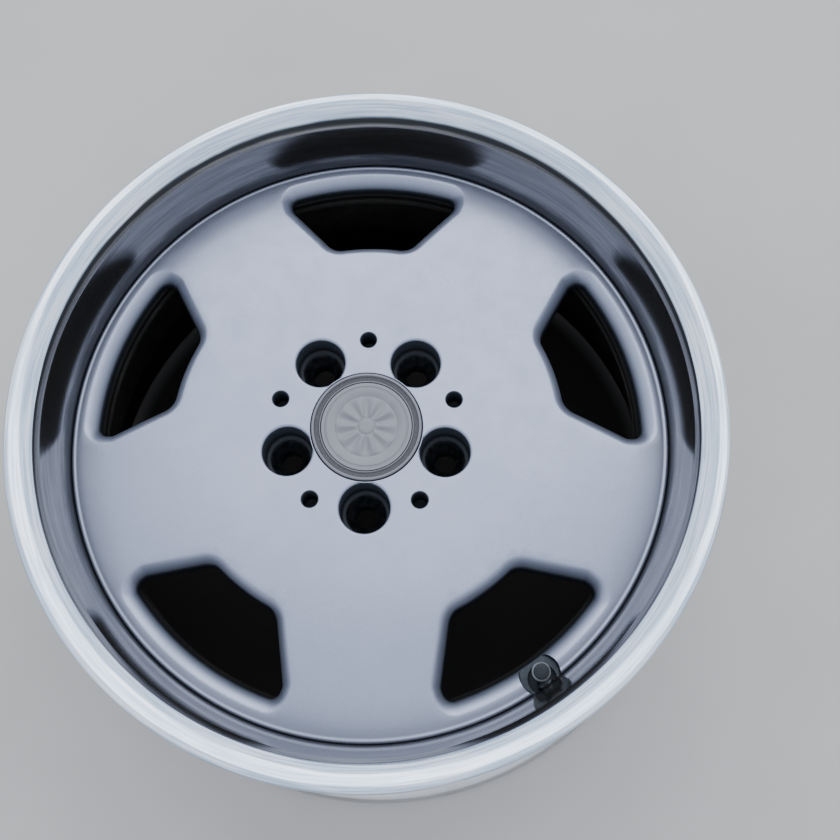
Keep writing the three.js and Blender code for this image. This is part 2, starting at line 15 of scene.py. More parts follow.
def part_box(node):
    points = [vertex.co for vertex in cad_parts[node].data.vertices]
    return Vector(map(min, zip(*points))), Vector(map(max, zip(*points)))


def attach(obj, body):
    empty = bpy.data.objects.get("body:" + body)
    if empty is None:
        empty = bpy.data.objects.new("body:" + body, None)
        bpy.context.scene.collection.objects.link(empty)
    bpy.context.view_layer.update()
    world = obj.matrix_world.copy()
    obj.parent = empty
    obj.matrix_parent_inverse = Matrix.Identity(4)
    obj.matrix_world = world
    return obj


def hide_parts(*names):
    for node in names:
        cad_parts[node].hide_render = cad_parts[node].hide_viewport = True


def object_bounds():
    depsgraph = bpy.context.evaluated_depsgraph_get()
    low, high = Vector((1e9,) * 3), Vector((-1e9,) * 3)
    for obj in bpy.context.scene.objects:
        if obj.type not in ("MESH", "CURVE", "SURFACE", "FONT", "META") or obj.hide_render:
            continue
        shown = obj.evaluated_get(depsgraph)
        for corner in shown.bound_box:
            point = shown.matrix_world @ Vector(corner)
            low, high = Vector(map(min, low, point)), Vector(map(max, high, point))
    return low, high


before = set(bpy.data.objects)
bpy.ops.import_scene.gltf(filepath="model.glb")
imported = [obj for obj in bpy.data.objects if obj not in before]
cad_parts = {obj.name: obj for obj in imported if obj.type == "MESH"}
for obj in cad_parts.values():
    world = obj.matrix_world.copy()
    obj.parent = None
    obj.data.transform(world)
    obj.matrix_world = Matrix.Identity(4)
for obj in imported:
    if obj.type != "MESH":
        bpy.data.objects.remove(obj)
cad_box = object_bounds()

MM = 0.001

# ---------------------------------------------------------------- sizes read from the frame


def extent(node):
    low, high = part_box(node)
    return low / MM, high / MM


disc_low, disc_high = extent("centre_disc")
outer_low, outer_high = extent("outer_rim_half")
_, inner_high = extent("inner_rim_half")
bolt_low, bolt_high = extent("rim_bolt_01")
cap_low, cap_high = extent("cap_housing")
badge_low, _ = extent("cap_badge")
ring_low, ring_high = extent("cap_retaining_ring")
valve_cap_low, valve_cap_high = extent("valve_cap")
core_low, core_high = extent("valve_core_body")
pin_low, pin_high = extent("valve_core_pin")
spring_low, spring_high = extent("valve_core_spring")
seal_low, seal_high = extent("valve_cap_seal")

PAD_Z = disc_low.z
FACE_Z = disc_high.z
DISC_R = disc_high.x
RIM_R = outer_high.x
TOP = outer_high.z
SEAM_Z = outer_low.z
INNER_TOP = inner_high.z
CAP_R = (cap_high.y - cap_low.y) / 2
CAP_TOP = cap_high.z
CAP_FOOT = cap_low.z
valve_axis = (valve_cap_low + valve_cap_high) / 2
VALVE_R = valve_axis.to_2d().length
VALVE_AT = math.degrees(math.atan2(valve_axis.y, valve_axis.x))

# ---------------------------------------------------------------- the wheel's other dimensions

SIDES = 5
SECTOR = 360 / SIDES
FLAT_R = 100  # the face is flat to here and then falls away
EDGE_DROP = 10
ROLL_R = 180  # outside this the face also rolls down a little towards the edge
EDGE_ROLL = 2.0
CLAMP_Z = 180
POCKET_R = 17
POCKET_Z = FACE_Z - 21  # the floor of the bolt pockets
SEAT_Z = FACE_Z - 28  # the foot of the bolts' cones
CAP_RECESS_R = 38.2
CAP_RECESS_Z = FACE_Z - 8
HUB_BORE_R = 33.3

WINDOW_OUTER_R = 188
WINDOW_INNER_R = 132
WINDOW_SIDE_TILT = 46.5
WINDOW_SIDE_OFFSET = 68.6
WINDOW_OUTER_CORNER = 10
WINDOW_INNER_CORNER = 17
WINDOW_DRAFT = 1.0  # how much narrower a window is at the back
ROLL_POWER = 1.55  # how the face rolls down into a window

BOLT_CIRCLE_R = 56
PIN_CIRCLE_R = 62.4
RIM_BOLTS = 25
RIM_BOLT_CIRCLE_R = 194
RIM_BOLT_HOLE_R = 3.7
FLANGE_BORE_R = 184
WALL_R = 204.6  # the dish wall's foot
BEAD_SEAT_R = RIM_R - 17.3
FLANGE_WIDTH = 13

VALVE_TILT = 60
TILT = math.radians(VALVE_TILT)
VALVE_WALL = (WALL_R, 182.7)  # radius and height where the shank leaves the rim wall
VALVE_WALL_T = 6.5
GAP = 0.3

window_directions = [90 + SECTOR * i for i in range(SIDES)]
bolt_directions = [a + SECTOR / 2 for a in window_directions]
rim_bolt_directions = [90 + (i + 0.5) * 360 / RIM_BOLTS for i in range(RIM_BOLTS)]

# ---------------------------------------------------------------- mesh helpers


def turned_z(degrees):
    return Matrix.Rotation(math.radians(degrees), 4, "Z")


def round_angles(steps):
    return np.arange(steps) * 2 * math.pi / steps


def unit(v):
    v = np.asarray(v, float)
    return v / np.linalg.norm(v)


def polar(radius, degrees):
    a = math.radians(degrees)
    return np.array([radius * math.cos(a), radius * math.sin(a)])


def rounded(corners, closed=True, facet=14):
    """A profile of (r, z) points. A third number rounds that corner with an arc of that radius."""
    made = []
    count = len(corners)
    for i, corner in enumerate(corners):
        here = np.array(corner[:2], float)
        if len(corner) < 3 or (not closed and i in (0, count - 1)):
            made.append(here)
            continue
        back = unit(np.array(corners[i - 1][:2]) - here)
        ahead = unit(np.array(corners[(i + 1) % count][:2]) - here)
        half = math.acos(max(-1.0, min(1.0, float(back @ ahead)))) / 2
        centre = here + unit(back + ahead) * corner[2] / math.sin(half)
        start = here + back * corner[2] / math.tan(half) - centre
        end = here + ahead * corner[2] / math.tan(half) - centre
        turn = math.pi - 2 * half
        steps = max(2, math.ceil(math.degrees(turn) / facet))
        for k in range(steps + 1):
            a = turn * k / steps
            made.append(centre + (start * math.sin(turn - a) + end * math.sin(a)) / math.sin(turn))
    return made


def circle(radius, z, steps, centre=(0, 0), first=0.0):
    a = np.radians(first) + round_angles(steps)
    if radius == 0:
        a = a[:1]
    x = centre[0] + radius * np.cos(a)
    y = centre[1] + radius * np.sin(a)
    return np.stack([x, y, np.full(len(a), float(z))], axis=1)


def circles(profile, steps, centre=(0, 0)):
    return [circle(r, z, steps, centre) for r, z in profile]


def uneven_ring(radii, z):
    """A ring whose radius changes from point to point."""
    ring = circle(1, z, len(radii))
    ring[:, :2] *= radii[:, None]
    return ring


class Shell:
    """Collects rings of points and the faces between them, and makes one closed mesh of them."""

    def __init__(self):
        self.points = []
        self.faces = []
        self.marks = []

    def add(self, points):
        start = len(self.points)
        self.points.extend(points)
        return range(start, start + len(points))

    def skin(self, rings, mark=0, loop=False):
        rows = [self.add(ring) for ring in rings]
        if loop:
            rows.append(rows[0])
        for low, high in zip(rows, rows[1:]):
            count = max(len(low), len(high))
            for i in range(count):
                j = (i + 1) % count
                corners = (low[i % len(low)], low[j % len(low)], high[j % len(high)], high[i % len(high)])
                self.faces.append(list(dict.fromkeys(corners)))
                self.marks.append(mark)
        return self

    def spin(self, profile, steps=96, centre=(0, 0), mark=0, loop=False):
        return self.skin(circles(profile, steps, centre), mark, loop)

    def moved(self, matrix):
        self.points = [matrix @ Vector(p) for p in self.points]
        return self

    def piece(self, name, materials=(), sharp=32):
        mesh = bpy.data.meshes.new(name)
        for material in materials:
            mesh.materials.append(material)
        mesh.from_pydata([Vector(p) * MM for p in self.points], [], self.faces)
        mesh.polygons.foreach_set("material_index", self.marks)
        work = bmesh.new()
        work.from_mesh(mesh)
        bmesh.ops.remove_doubles(work, verts=work.verts, dist=1e-6)
        bmesh.ops.recalc_face_normals(work, faces=work.faces)
        work.to_mesh(mesh)
        work.free()
        made = bpy.data.objects.new(name, mesh)
        bpy.context.scene.collection.objects.link(made)
        return shaded(made, sharp)


def shaded(piece, sharp=32):
    mesh = piece.data
    mesh.polygons.foreach_set("use_smooth", [True] * len(mesh.polygons))
    mesh.set_sharp_from_angle(angle=math.radians(sharp))
    return piece


def cut(piece, cutter, sharp=32):
    """Takes the cutter's volume out of the piece, for good."""
    modifier = piece.modifiers.new("cut", "BOOLEAN")
    modifier.operation = "DIFFERENCE"
    modifier.solver = "EXACT"
    modifier.object = cutter
    evaluated = piece.evaluated_get(bpy.context.evaluated_depsgraph_get())
    mesh = bpy.data.meshes.new_from_object(evaluated)
    piece.modifiers.clear()
    piece.data = mesh
    bpy.data.objects.remove(cutter)
    return shaded(piece, sharp)


def repaint(piece, index, chosen):
    """Gives another material to the faces whose centre's radius and height, in mm, are chosen."""
    for polygon in piece.data.polygons:
        centre = polygon.center / MM
        if chosen(centre.to_2d().length, centre.z):
            polygon.material_index = index


def finished(piece, body, slot, *nodes):
    """Puts a piece on the body it rides on and hides the CAD parts it stands for. `slot`, one of the
    record's materials, is not used.
    """
    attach(piece, body)
    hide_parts(*nodes)
    return piece


# ---------------------------------------------------------------- material helpers


class Look:
    """A Principled material and the nodes that vary it. Its coordinates are the row's own, in metres."""

    def __init__(self, name, metallic, roughness, **sockets):
        self.material = bpy.data.materials.new(name)
        self.material.use_nodes = True
        self.tree = self.material.node_tree
        self.shader = self.tree.nodes["Principled BSDF"]
        self.shader.inputs["Metallic"].default_value = metallic
        self.shader.inputs["Roughness"].default_value = roughness
        for socket, value in sockets.items():
            self.shader.inputs[socket.replace("_", " ")].default_value = value
        self.place = self.add("ShaderNodeTexCoord").outputs["Object"]

    def add(self, kind, inputs=None, **settings):
        made = self.tree.nodes.new(kind)
        for key, value in settings.items():
            setattr(made, key, value)
        for key, value in (inputs or {}).items():
            self.plug(made.inputs[key], value)
        return made

    def plug(self, socket, value):
        if isinstance(value, bpy.types.NodeSocket):
            self.tree.links.new(value, socket)
        else:
            socket.default_value = value

    def set(self, name, value):
        self.plug(self.shader.inputs[name], value)

    def math(self, operation, a, b=0.0):
        return self.add("ShaderNodeMath", {0: a, 1: b}, operation=operation).outputs[0]

    def plus(self, a, b):
        return self.math("ADD", a, b)

    def minus(self, a, b):
        return self.math("SUBTRACT", a, b)

    def times(self, a, b):
        return self.math("MULTIPLY", a, b)

    def over(self, a, b):
        return self.math("DIVIDE", a, b)

    def span(self, value, low, high, to_low=0.0, to_high=1.0):
        inputs = {"Value": value, "From Min": low, "From Max": high, "To Min": to_low, "To Max": to_high}
        return self.add("ShaderNodeMapRange", inputs, interpolation_type="SMOOTHSTEP").outputs[0]

    def mix(self, factor, a, b):
        """Blends two colours: sockets, or tuples of three numbers."""
        made = self.add("ShaderNodeMix", data_type="RGBA")
        for index, value in ((0, factor), (6, a), (7, b)):
            self.plug(made.inputs[index], (*value, 1) if isinstance(value, tuple) else value)
        return made.outputs[2]

    def noise(self, scale, detail=3.0, roughness=0.5, vector=None):
        inputs = {"Vector": vector or self.place, "Scale": scale, "Detail": detail, "Roughness": roughness}
        return self.add("ShaderNodeTexNoise", inputs).outputs["Fac"]

    def axes(self):
        parts = self.add("ShaderNodeSeparateXYZ", {0: self.place}).outputs
        return parts[0], parts[1], parts[2]

    def radius(self):
        x, y, _ = self.axes()
        square = self.plus(self.times(x, x), self.times(y, y))
        return self.math("SQRT", square)

    def circular(self, fine, along=3.0):
        """Noise drawn out into rings round the wheel's axis, `fine` cells to the metre across them."""
        x, y, z = self.axes()
        r = self.radius()
        safe = self.math("MAXIMUM", r, 0.001)
        inputs = {
            0: self.times(self.over(x, safe), along),
            1: self.times(self.over(y, safe), along),
            2: self.times(z, fine),
        }
        vector = self.add("ShaderNodeCombineXYZ", inputs).outputs[0]
        inputs = {"Vector": vector, "W": self.times(r, fine), "Scale": 1.0, "Detail": 3.0}
        return self.add("ShaderNodeTexNoise", inputs, noise_dimensions="4D").outputs["Fac"]

    def bump(self, height, strength, distance=0.001, normal=None):
        inputs = {"Height": height, "Strength": strength, "Distance": distance}
        if normal:
            inputs["Normal"] = normal
        return self.add("ShaderNodeBump", inputs).outputs[0]

    def finish(self, colour, roughness, normal):
        self.set("Base Color", colour)
        self.set("Roughness", roughness)
        self.set("Normal", normal)
        return self.material

    def polish_along_rings(self, amount):
        tangent = self.add("ShaderNodeTangent", direction_type="RADIAL", axis="Z").outputs[0]
        self.set("Tangent", tangent)
        self.shader.inputs["Anisotropic"].default_value = amount


# ---------------------------------------------------------------- materials


def silver_paint():
    """Satin metallic silver with fine flakes, soft orange peel, and painted shade below the face's edges.
    """
    look = Look("satin_silver_paint", 0.78, 0.4, Coat_Weight=0.12, Coat_Roughness=0.3)
    flakes = look.noise(1400.0, 1.0)
    cloud = look.noise(14.0, 4.0, 0.6)
    paint = look.mix(look.span(cloud, 0.3, 0.7), (0.30, 0.338, 0.445), (0.33, 0.37, 0.48))
    paint = look.mix(look.span(flakes, 0.3, 0.75, 0.0, 0.35), paint, (0.43, 0.475, 0.59))
    _, _, z = look.axes()
    face = FACE_Z * MM
    for start, drop in ((FLAT_R, EDGE_DROP), (ROLL_R, EDGE_ROLL)):
        past = look.math("MAXIMUM", look.minus(look.radius(), start * MM), 0.0)
        share = look.over(past, (DISC_R - start) * MM)
        face = look.minus(face, look.times(look.times(share, share), drop * MM))
    depth = look.minus(face, z)
    ragged = look.plus(depth, look.times(look.minus(cloud, 0.5), 0.0012))
    # painted shade: the paint darkens with depth below the face, down the windows' rolled edges and walls
    painted_shade = look.span(ragged, 0.0, 0.0125)
    colour = look.mix(painted_shade, paint, (0.020, 0.027, 0.036))
    sheen = look.span(look.noise(60.0, 4.0, 0.65), 0.3, 0.75, 0.36, 0.45)
    peel = look.bump(look.noise(420.0, 2.0), 0.05, 0.0006)
    roughness = look.plus(sheen, look.times(painted_shade, 0.12))
    return look.finish(colour, roughness, look.bump(flakes, 0.05, 0.0003, peel))


def pocket_shade_coat():
    """The bolt pockets' coat, which is painted shade: darkest at the bottom, less dark up the walls, with
    rub marks.
    """
    look = Look("pocket_coat_painted_shade", 0.5, 0.5)
    rub = look.span(look.noise(220.0, 4.0, 0.7), 0.52, 0.78)
    _, _, z = look.axes()
    # painted shade that lightens from the pocket's floor up its walls
    wall = look.span(z, (POCKET_Z + 2) * MM, (POCKET_Z + 7) * MM)
    deep = look.mix(rub, (0.024, 0.029, 0.036), (0.040, 0.046, 0.055))
    shallow_shade = look.mix(rub, (0.055, 0.068, 0.085), (0.085, 0.10, 0.12))
    relief = look.bump(look.noise(900.0), 0.12, 0.0004)
    return look.finish(look.mix(wall, deep, shallow_shade), look.span(rub, 0.0, 1.0, 0.55, 0.38), relief)


def patchy(name, metallic, patches, spread, tones, roughness, strength, grain=None):
    """Metal with soft patches, which also make its relief where no finer grain is given."""
    look = Look(name, metallic, roughness[0])
    patch = look.noise(*patches)
    colour = look.mix(look.span(patch, *spread), *tones)
    relief = look.bump(look.noise(grain) if grain else patch, strength, 0.0003)
    return look.finish(colour, look.span(patch, 0.3, 0.7, *roughness), relief)


def polished_aluminium(name, metallic, dark, pale, streak, rough, shaded_rings):
    """Polished aluminium: polishing rings, haze, specks of dirt, and painted shade along some rings.

    The last argument lists (radius, half width, height, half height, strength, share, low, high). A ring
    of painted shade grows with Y from that share of its size, where Y / radius is low, to all of it at
    high.
    """
    look = Look(name, metallic, rough)
    look.polish_along_rings(0.3)
    rings = look.circular(700.0, 5.0)
    broad = look.circular(260.0, 3.0)
    haze = look.noise(9.0, 4.0, 0.6)
    dirt = look.span(look.noise(320.0, 5.0, 0.75), 0.68, 0.8)
    metal = look.mix(look.span(broad, 0.38, 0.62), dark, pale)
    metal = look.mix(look.span(rings, 0.43, 0.62, 0.0, 0.9), metal, streak)
    darkening = look.times(dirt, 0.35)
    _, y, z = look.axes()
    ragged = look.span(look.circular(120.0, 5.0), 0.35, 0.62, 0.7, 1.0)
    # the listed rings are painted shade, added to the real dirt specks
    for radius, wide, height, tall, strength, share, low, high in shaded_rings:
        size = look.span(look.over(y, look.radius()), low, high, share, 1.0)
        size = look.times(size, ragged)
        near = strength
        for place, middle, reach in ((look.radius(), radius, wide), (z, height, tall)):
            off = look.math("ABSOLUTE", look.minus(place, middle * MM))
            off = look.over(off, look.times(size, reach * MM))
            near = look.times(look.span(off, 0.3, 1.0, 1.0, 0.0), near)
        darkening = look.math("MAXIMUM", darkening, near)
    colour = look.mix(darkening, metal, (0.035, 0.038, 0.042))
    worn = look.span(haze, 0.3, 0.75, rough, rough + 0.05)
    worn = look.plus(worn, look.span(rings, 0.4, 0.75, 0.0, 0.08))
    relief = look.bump(rings, 0.05, 0.0003, look.bump(look.noise(30.0), 0.02, 0.002))
    return look.finish(colour, look.plus(worn, look.times(darkening, 0.2)), relief)


def turned_barrel():
    """The barrel: turned aluminium with clear coat, dusted and stained."""
    look = Look("turned_aluminium", 1.0, 0.3, Coat_Weight=0.3, Coat_Roughness=0.2)
    look.polish_along_rings(0.5)
    rings = look.circular(900.0, 2.0)
    darkening = look.span(look.noise(22.0, 5.0, 0.65), 0.45, 0.75)
    metal = look.mix(look.span(rings, 0.25, 0.75), (0.50, 0.51, 0.52), (0.68, 0.69, 0.70))
    colour = look.mix(look.times(darkening, 0.45), metal, (0.30, 0.29, 0.27))
    roughness = look.plus(look.span(rings, 0.3, 0.7, 0.24, 0.36), look.times(darkening, 0.15))
    return look.finish(colour, roughness, look.bump(rings, 0.12, 0.0004))


def dust_and_shade_inside():
    """The brake side: baked-on dust with painted shade over it, near black on the clamp flange but a grey
    shade in the valve's notch.
    """
    look = Look("brake_dust_and_painted_shade", 0.0, 0.6, Specular_IOR_Level=0.1)
    dust = look.noise(35.0, 6.0, 0.65)
    fine = look.noise(700.0, 3.0)
    coat = look.mix(look.span(dust, 0.35, 0.75), (0.026, 0.025, 0.024), (0.05, 0.048, 0.045))
    coat = look.mix(look.span(fine, 0.6, 0.8, 0.0, 0.4), coat, (0.06, 0.057, 0.053))
    _, _, z = look.axes()
    notch = look.span(look.radius(), 188.5 * MM, 190.5 * MM)
    # painted shade: near black on the clamp flange, a grey shade tone where it shows under the valve notch
    flange = look.mix(notch, (0.005, 0.005, 0.005), (0.035, 0.042, 0.05))
    colour = look.mix(look.span(z, 172 * MM, 178 * MM), coat, flange)
    return look.finish(colour, look.span(dust, 0.3, 0.7, 0.85, 0.65), look.bump(fine, 0.3, 0.0004))


def cap_paint():
    """Satin warm silver of the centre cap, a little scuffed."""
    look = Look("satin_cap_silver", 0.55, 0.42)
    cloud = look.noise(80.0, 4.0, 0.6)
    scuff = look.span(look.noise(900.0, 4.0, 0.8), 0.6, 0.8)
    paint = look.mix(look.span(cloud, 0.3, 0.7), (0.175, 0.180, 0.205), (0.205, 0.21, 0.235))
    colour = look.mix(look.times(scuff, 0.4), paint, (0.30, 0.31, 0.335))
    relief = look.bump(look.noise(1600.0), 0.06, 0.0003)
    return look.finish(colour, look.span(cloud, 0.3, 0.7, 0.4, 0.5), relief)


def plated(name, dark, pale, rough):
    """Plated steel or brass: cloudy, slightly pitted metal."""
    look = Look(name, 1.0, rough)
    cloud = look.noise(300.0, 4.0, 0.6)
    colour = look.mix(look.span(cloud, 0.3, 0.7), dark, pale)
    roughness = look.span(look.noise(900.0, 3.0), 0.3, 0.75, rough - 0.06, rough + 0.12)
    return look.finish(colour, roughness, look.bump(look.noise(2200.0), 0.08, 0.0002))


def moulded(name, dark, pale, rough, grain):
    """Rubber or plastic: dull, with a fine moulded grain and pale dust."""
    look = Look(name, 0.0, rough, Specular_IOR_Level=0.25)
    dust = look.span(look.noise(450.0, 5.0, 0.7), 0.5, 0.8)
    roughness = look.span(dust, 0.0, 1.0, rough, min(0.95, rough + 0.15))
    relief = look.bump(look.noise(grain, 2.0), 0.15, 0.0003)
    return look.finish(look.mix(dust, dark, pale), roughness, relief)


SILVER = silver_paint()
# painted shade for the bolt pockets, pin holes, hub bore and rim bolt holes
POCKET_SHADE = pocket_shade_coat()
# the valve notch's milled faces, darkened to painted shade
NOTCH_SHADE = patchy(
    "milled_notch_painted_shade", 0.75, (260.0, 4.0, 0.6), (0.3, 0.7),
    ((0.033, 0.041, 0.050), (0.062, 0.074, 0.088)), (0.4, 0.55), 0.12, grain=1500.0,
)
# machined bolt seats darkened to painted shade, down in the pockets
SEAT_SHADE = patchy(
    "machined_bolt_seat_painted_shade", 1.0, (260.0, 3.0, 0.5), (0.3, 0.75),
    ((0.022, 0.025, 0.03), (0.046, 0.05, 0.056)), (0.42, 0.58), 0.05,
)
# painted shade: a dark line along the lip's inner edge, widest towards +Y
LIP_EDGE_SHADE = (217.5, 3.2, TOP - 8.6, 5.2, 0.97, 0.2, -0.6, 1.0)
# painted shade at the dish wall's foot, beside the disc's edge, thinnest towards -Y
WALL_FOOT_SHADE = (WALL_R, 8.0, 189, 17.0, 0.82, 0.25, -1.0, -0.5)
# painted shade on the outer face of the lip's flange, the dark under the wheel's edge
OUTER_FLANGE_SHADE = (RIM_R - 3.0, 6.5, TOP - 10.0, 7.5, 0.8, 1.0, 0.0, 1.0)
POLISHED = polished_aluminium(
    "polished_lip", 1.0, (0.63, 0.75, 0.90), (0.83, 0.90, 1.0), (0.45, 0.57, 0.70), 0.09,
    [LIP_EDGE_SHADE, OUTER_FLANGE_SHADE],
)
# the dish wall: a darker copy of the polished aluminium, as painted shade inside the dish
DISH_WALL_SHADE = polished_aluminium(
    "polished_dish_wall_painted_shade", 0.965, (0.285, 0.28, 0.28), (0.335, 0.33, 0.33),
    (0.235, 0.23, 0.235), 0.13, [LIP_EDGE_SHADE, WALL_FOOT_SHADE],
)
TURNED = turned_barrel()
DUST_AND_SHADE = dust_and_shade_inside()
CAP_PAINT = cap_paint()
CAP_GROOVE = patchy(
    "cap_groove_shadow", 0.4, (600.0, 4.0, 0.6), (0.35, 0.7),
    ((0.045, 0.048, 0.055), (0.08, 0.084, 0.095)), (0.42, 0.6), 0.1,
)
ZINC = plated("zinc_plated_steel", (0.36, 0.37, 0.39), (0.56, 0.57, 0.58), 0.34)
SPRING = plated("drawn_spring_wire", (0.30, 0.31, 0.33), (0.48, 0.49, 0.51), 0.24)
BRASS = plated("turned_brass", (0.45, 0.31, 0.10), (0.66, 0.48, 0.20), 0.26)
# dull nickel darkened to painted shade, so the stem sits into the shaded notch
NICKEL_SHADE = plated("nickel_painted_shade", (0.05, 0.057, 0.065), (0.09, 0.1, 0.11), 0.5)
RUBBER = moulded("moulded_rubber", (0.014, 0.014, 0.015), (0.05, 0.05, 0.05), 0.7, 1500.0)
CAP_PLASTIC = moulded("valve_cap_plastic", (0.009, 0.014, 0.019), (0.028, 0.036, 0.044), 0.4, 2500.0)
# painted highlight: a paler ring round the valve cap's crown shoulder
CAP_EDGE_HIGHLIGHT = moulded("valve_cap_painted_highlight", (0.16, 0.18, 0.19), (0.30, 0.32, 0.33), 0.35, 2500.0)
DISC_COATS = [SILVER, POCKET_SHADE, SEAT_SHADE, NOTCH_SHADE]
OUTER_COATS = [POLISHED, DISH_WALL_SHADE, DUST_AND_SHADE, TURNED]
INNER_COATS = [TURNED, DUST_AND_SHADE]
CAP_COATS = [CAP_PAINT, CAP_GROOVE]
SEALANT = moulded("cured_sealant", (0.42, 0.42, 0.40), (0.55, 0.54, 0.50), 0.5, 700.0)

# ---------------------------------------------------------------- centre disc

PLATE_R = 199.2  # the face's plate ends here and the edge bead begins


def face_z(r):
    crown = EDGE_DROP * (np.maximum(0, r - FLAT_R) / (DISC_R - FLAT_R)) ** 2
    return FACE_Z - crown - EDGE_ROLL * (np.maximum(0, r - ROLL_R) / (DISC_R - ROLL_R)) ** 2


BACK_PROFILE = rounded(
    [
        (HUB_BORE_R + 1, PAD_Z), (75, PAD_Z, 2), (80, PAD_Z + 5, 6), (84, PAD_Z + 18, 8),
        (96, CLAMP_Z + 3.5, 14), (180, CLAMP_Z, 20), (DISC_R - 0.6, CLAMP_Z),
    ],
    closed=False,
)


def back_z(r):
    radii = [p[0] for p in BACK_PROFILE]
    heights = [p[1] for p in BACK_PROFILE]
    return np.interp(r, radii, heights)


def window_outline():
    """Points of the window in direction +Y, the outward normals there and those normals' angles from +Y."""
    tilt = math.radians(WINDOW_SIDE_TILT)
    along = np.array([math.cos(tilt), math.sin(tilt)])
    normal = np.array([math.sin(tilt), -math.cos(tilt)])

    def corner(reach, radius):
        off = -WINDOW_SIDE_OFFSET - radius
        return normal * off + along * math.sqrt(reach**2 - off**2)

    outer = corner(WINDOW_OUTER_R - WINDOW_OUTER_CORNER, WINDOW_OUTER_CORNER)
    inner = corner(WINDOW_INNER_R + WINDOW_INNER_CORNER, WINDOW_INNER_CORNER)
    outer_at = math.degrees(math.atan2(outer[0], outer[1]))
    inner_at = math.degrees(math.atan2(inner[0], inner[1]))
    side = math.degrees(math.atan2(normal[0], normal[1]))

    def from_y(degrees):
        a = math.radians(degrees)
        return np.array([math.sin(a), math.cos(a)])

    half = []
    for a in np.linspace(0, outer_at, 18, endpoint=False):
        half.append((from_y(a) * WINDOW_OUTER_R, a))
    for a in np.linspace(outer_at, side, 20):
        half.append((outer + from_y(a) * WINDOW_OUTER_CORNER, a))
    start = half[-1][0]
    end = inner + normal * WINDOW_INNER_CORNER
    for t in np.linspace(0, 1, 12)[1:-1]:
        half.append((start + (end - start) * t, side))
    for a in np.linspace(side, 180 + inner_at, 14):
        half.append((inner + from_y(a) * WINDOW_INNER_CORNER, a))
    for a in np.linspace(inner_at, 0, 8)[1:]:
        half.append((from_y(a) * WINDOW_INNER_R, 180 + a))
    points = np.array([p for p, _ in half])
    angles = np.array([a for _, a in half])
    mirrored = points[-2:0:-1] * [-1, 1]
    points = np.vstack([points, mirrored])
    angles = np.concatenate([angles, -angles[-2:0:-1]])
    normals = np.array([from_y(a) for a in angles])
    return points, normals, angles


def smooth(t):
    t = np.clip(t, 0, 1)
    return t * t * (3 - 2 * t)


def window_rings():
    """The rings of a window in direction +Y, from the plate over the rolled edge and down the wall."""
    points, normals, angles = window_outline()
    lean = np.abs(angles)
    lean = np.where(lean > 180, 360 - lean, lean)
    outside = 1 - smooth((lean - 18) / 90)
    inside = smooth((lean - 140) / 40)
    inward = 3.4 - 2.6 * outside - 0.8 * inside
    points = points - normals * inward[:, None]
    width = 6.8 + 3.0 * outside - 0.8 * inside
    drop = 7.2 + 1.6 * outside - 1.4 * inside
    rings = []
    for t in np.linspace(0, 1, 13):
        flat = points + normals * (width * (1 - t))[:, None]
        z = face_z(np.linalg.norm(flat, axis=1)) - drop * t**ROLL_POWER
        rings.append(np.column_stack([flat, z]))
    top = rings[-1][:, 2]
    foot = points - normals * WINDOW_DRAFT
    low = back_z(np.linalg.norm(foot, axis=1))
    for t in (0.3, 0.6, 0.85):
        flat = points + (foot - points) * t
        rings.append(np.column_stack([flat, top + (low - top) * t]))
    rings.append(np.column_stack([foot, low]))
    return rings


def turned_ring(ring, degrees):
    a = math.radians(degrees)
    turn = np.array([[math.cos(a), math.sin(a)], [-math.sin(a), math.cos(a)]])
    return np.column_stack([ring[:, :2] @ turn, ring[:, 2]])


def inside_loop(points, loop):
    """Which points lie inside a closed loop."""
    found = np.zeros(len(points), bool)
    x, y = points[:, 0], points[:, 1]
    for (x1, y1), (x2, y2) in zip(loop, np.roll(loop, -1, axis=0)):
        spans = (y1 > y) != (y2 > y)
        with np.errstate(divide="ignore", invalid="ignore"):
            crossing = x < (x2 - x1) * (y - y1) / (y2 - y1) + x1
        found ^= spans & crossing
    return found


def plate(shell, edge, holes, radii, height, step=5.0, keep_off=2.2):
    """A sheet between an outer loop and holes, triangulated over a polar grid."""
    loops = [edge] + holes
    grid = []
    for n, r in enumerate(radii):
        count = max(24, int(2 * math.pi * r / step))
        grid.append(circle(r, 0, count, first=n * 180 / count)[:, :2])
    grid = np.vstack(grid)
    near = np.zeros(len(grid), bool)
    for loop in loops:
        for corner in loop:
            near |= np.hypot(*(grid - corner[:2]).T) < keep_off
    grid = grid[~near]
    keep = inside_loop(grid, edge[:, :2])
    for hole in holes:
        keep &= ~inside_loop(grid, hole[:, :2])
    grid = grid[keep]
    flat = [Vector(p) for p in grid]
    edges = []
    for loop in loops:
        start = len(flat)
        flat.extend(Vector(p[:2]) for p in loop)
        edges.extend((start + i, start + (i + 1) % len(loop)) for i in range(len(loop)))
    found, _, triangles, *_ = delaunay_2d_cdt(flat, edges, [], 0, 1e-7)
    found = np.array([(p.x, p.y) for p in found])
    triangles = np.array([t for t in triangles if len(t) == 3])
    centres = found[triangles].mean(axis=1)
    keep = inside_loop(centres, edge[:, :2])
    for hole in holes:
        keep &= ~inside_loop(centres, hole[:, :2])
    z = height(np.linalg.norm(found, axis=1))
    row = shell.add(list(np.column_stack([found, z])))
    for a, b, c in triangles[keep]:
        shell.faces.append([row[a], row[b], row[c]])
        shell.marks.append(0)


def off_recess(ring):
    """Keeps a bolt pocket's rounded mouth from running into the cap's recess."""
    reach = np.linalg.norm(ring[:, :2], axis=1)
    ring[:, :2] *= (np.maximum(reach, CAP_RECESS_R + 0.75) / reach)[:, None]
    return ring


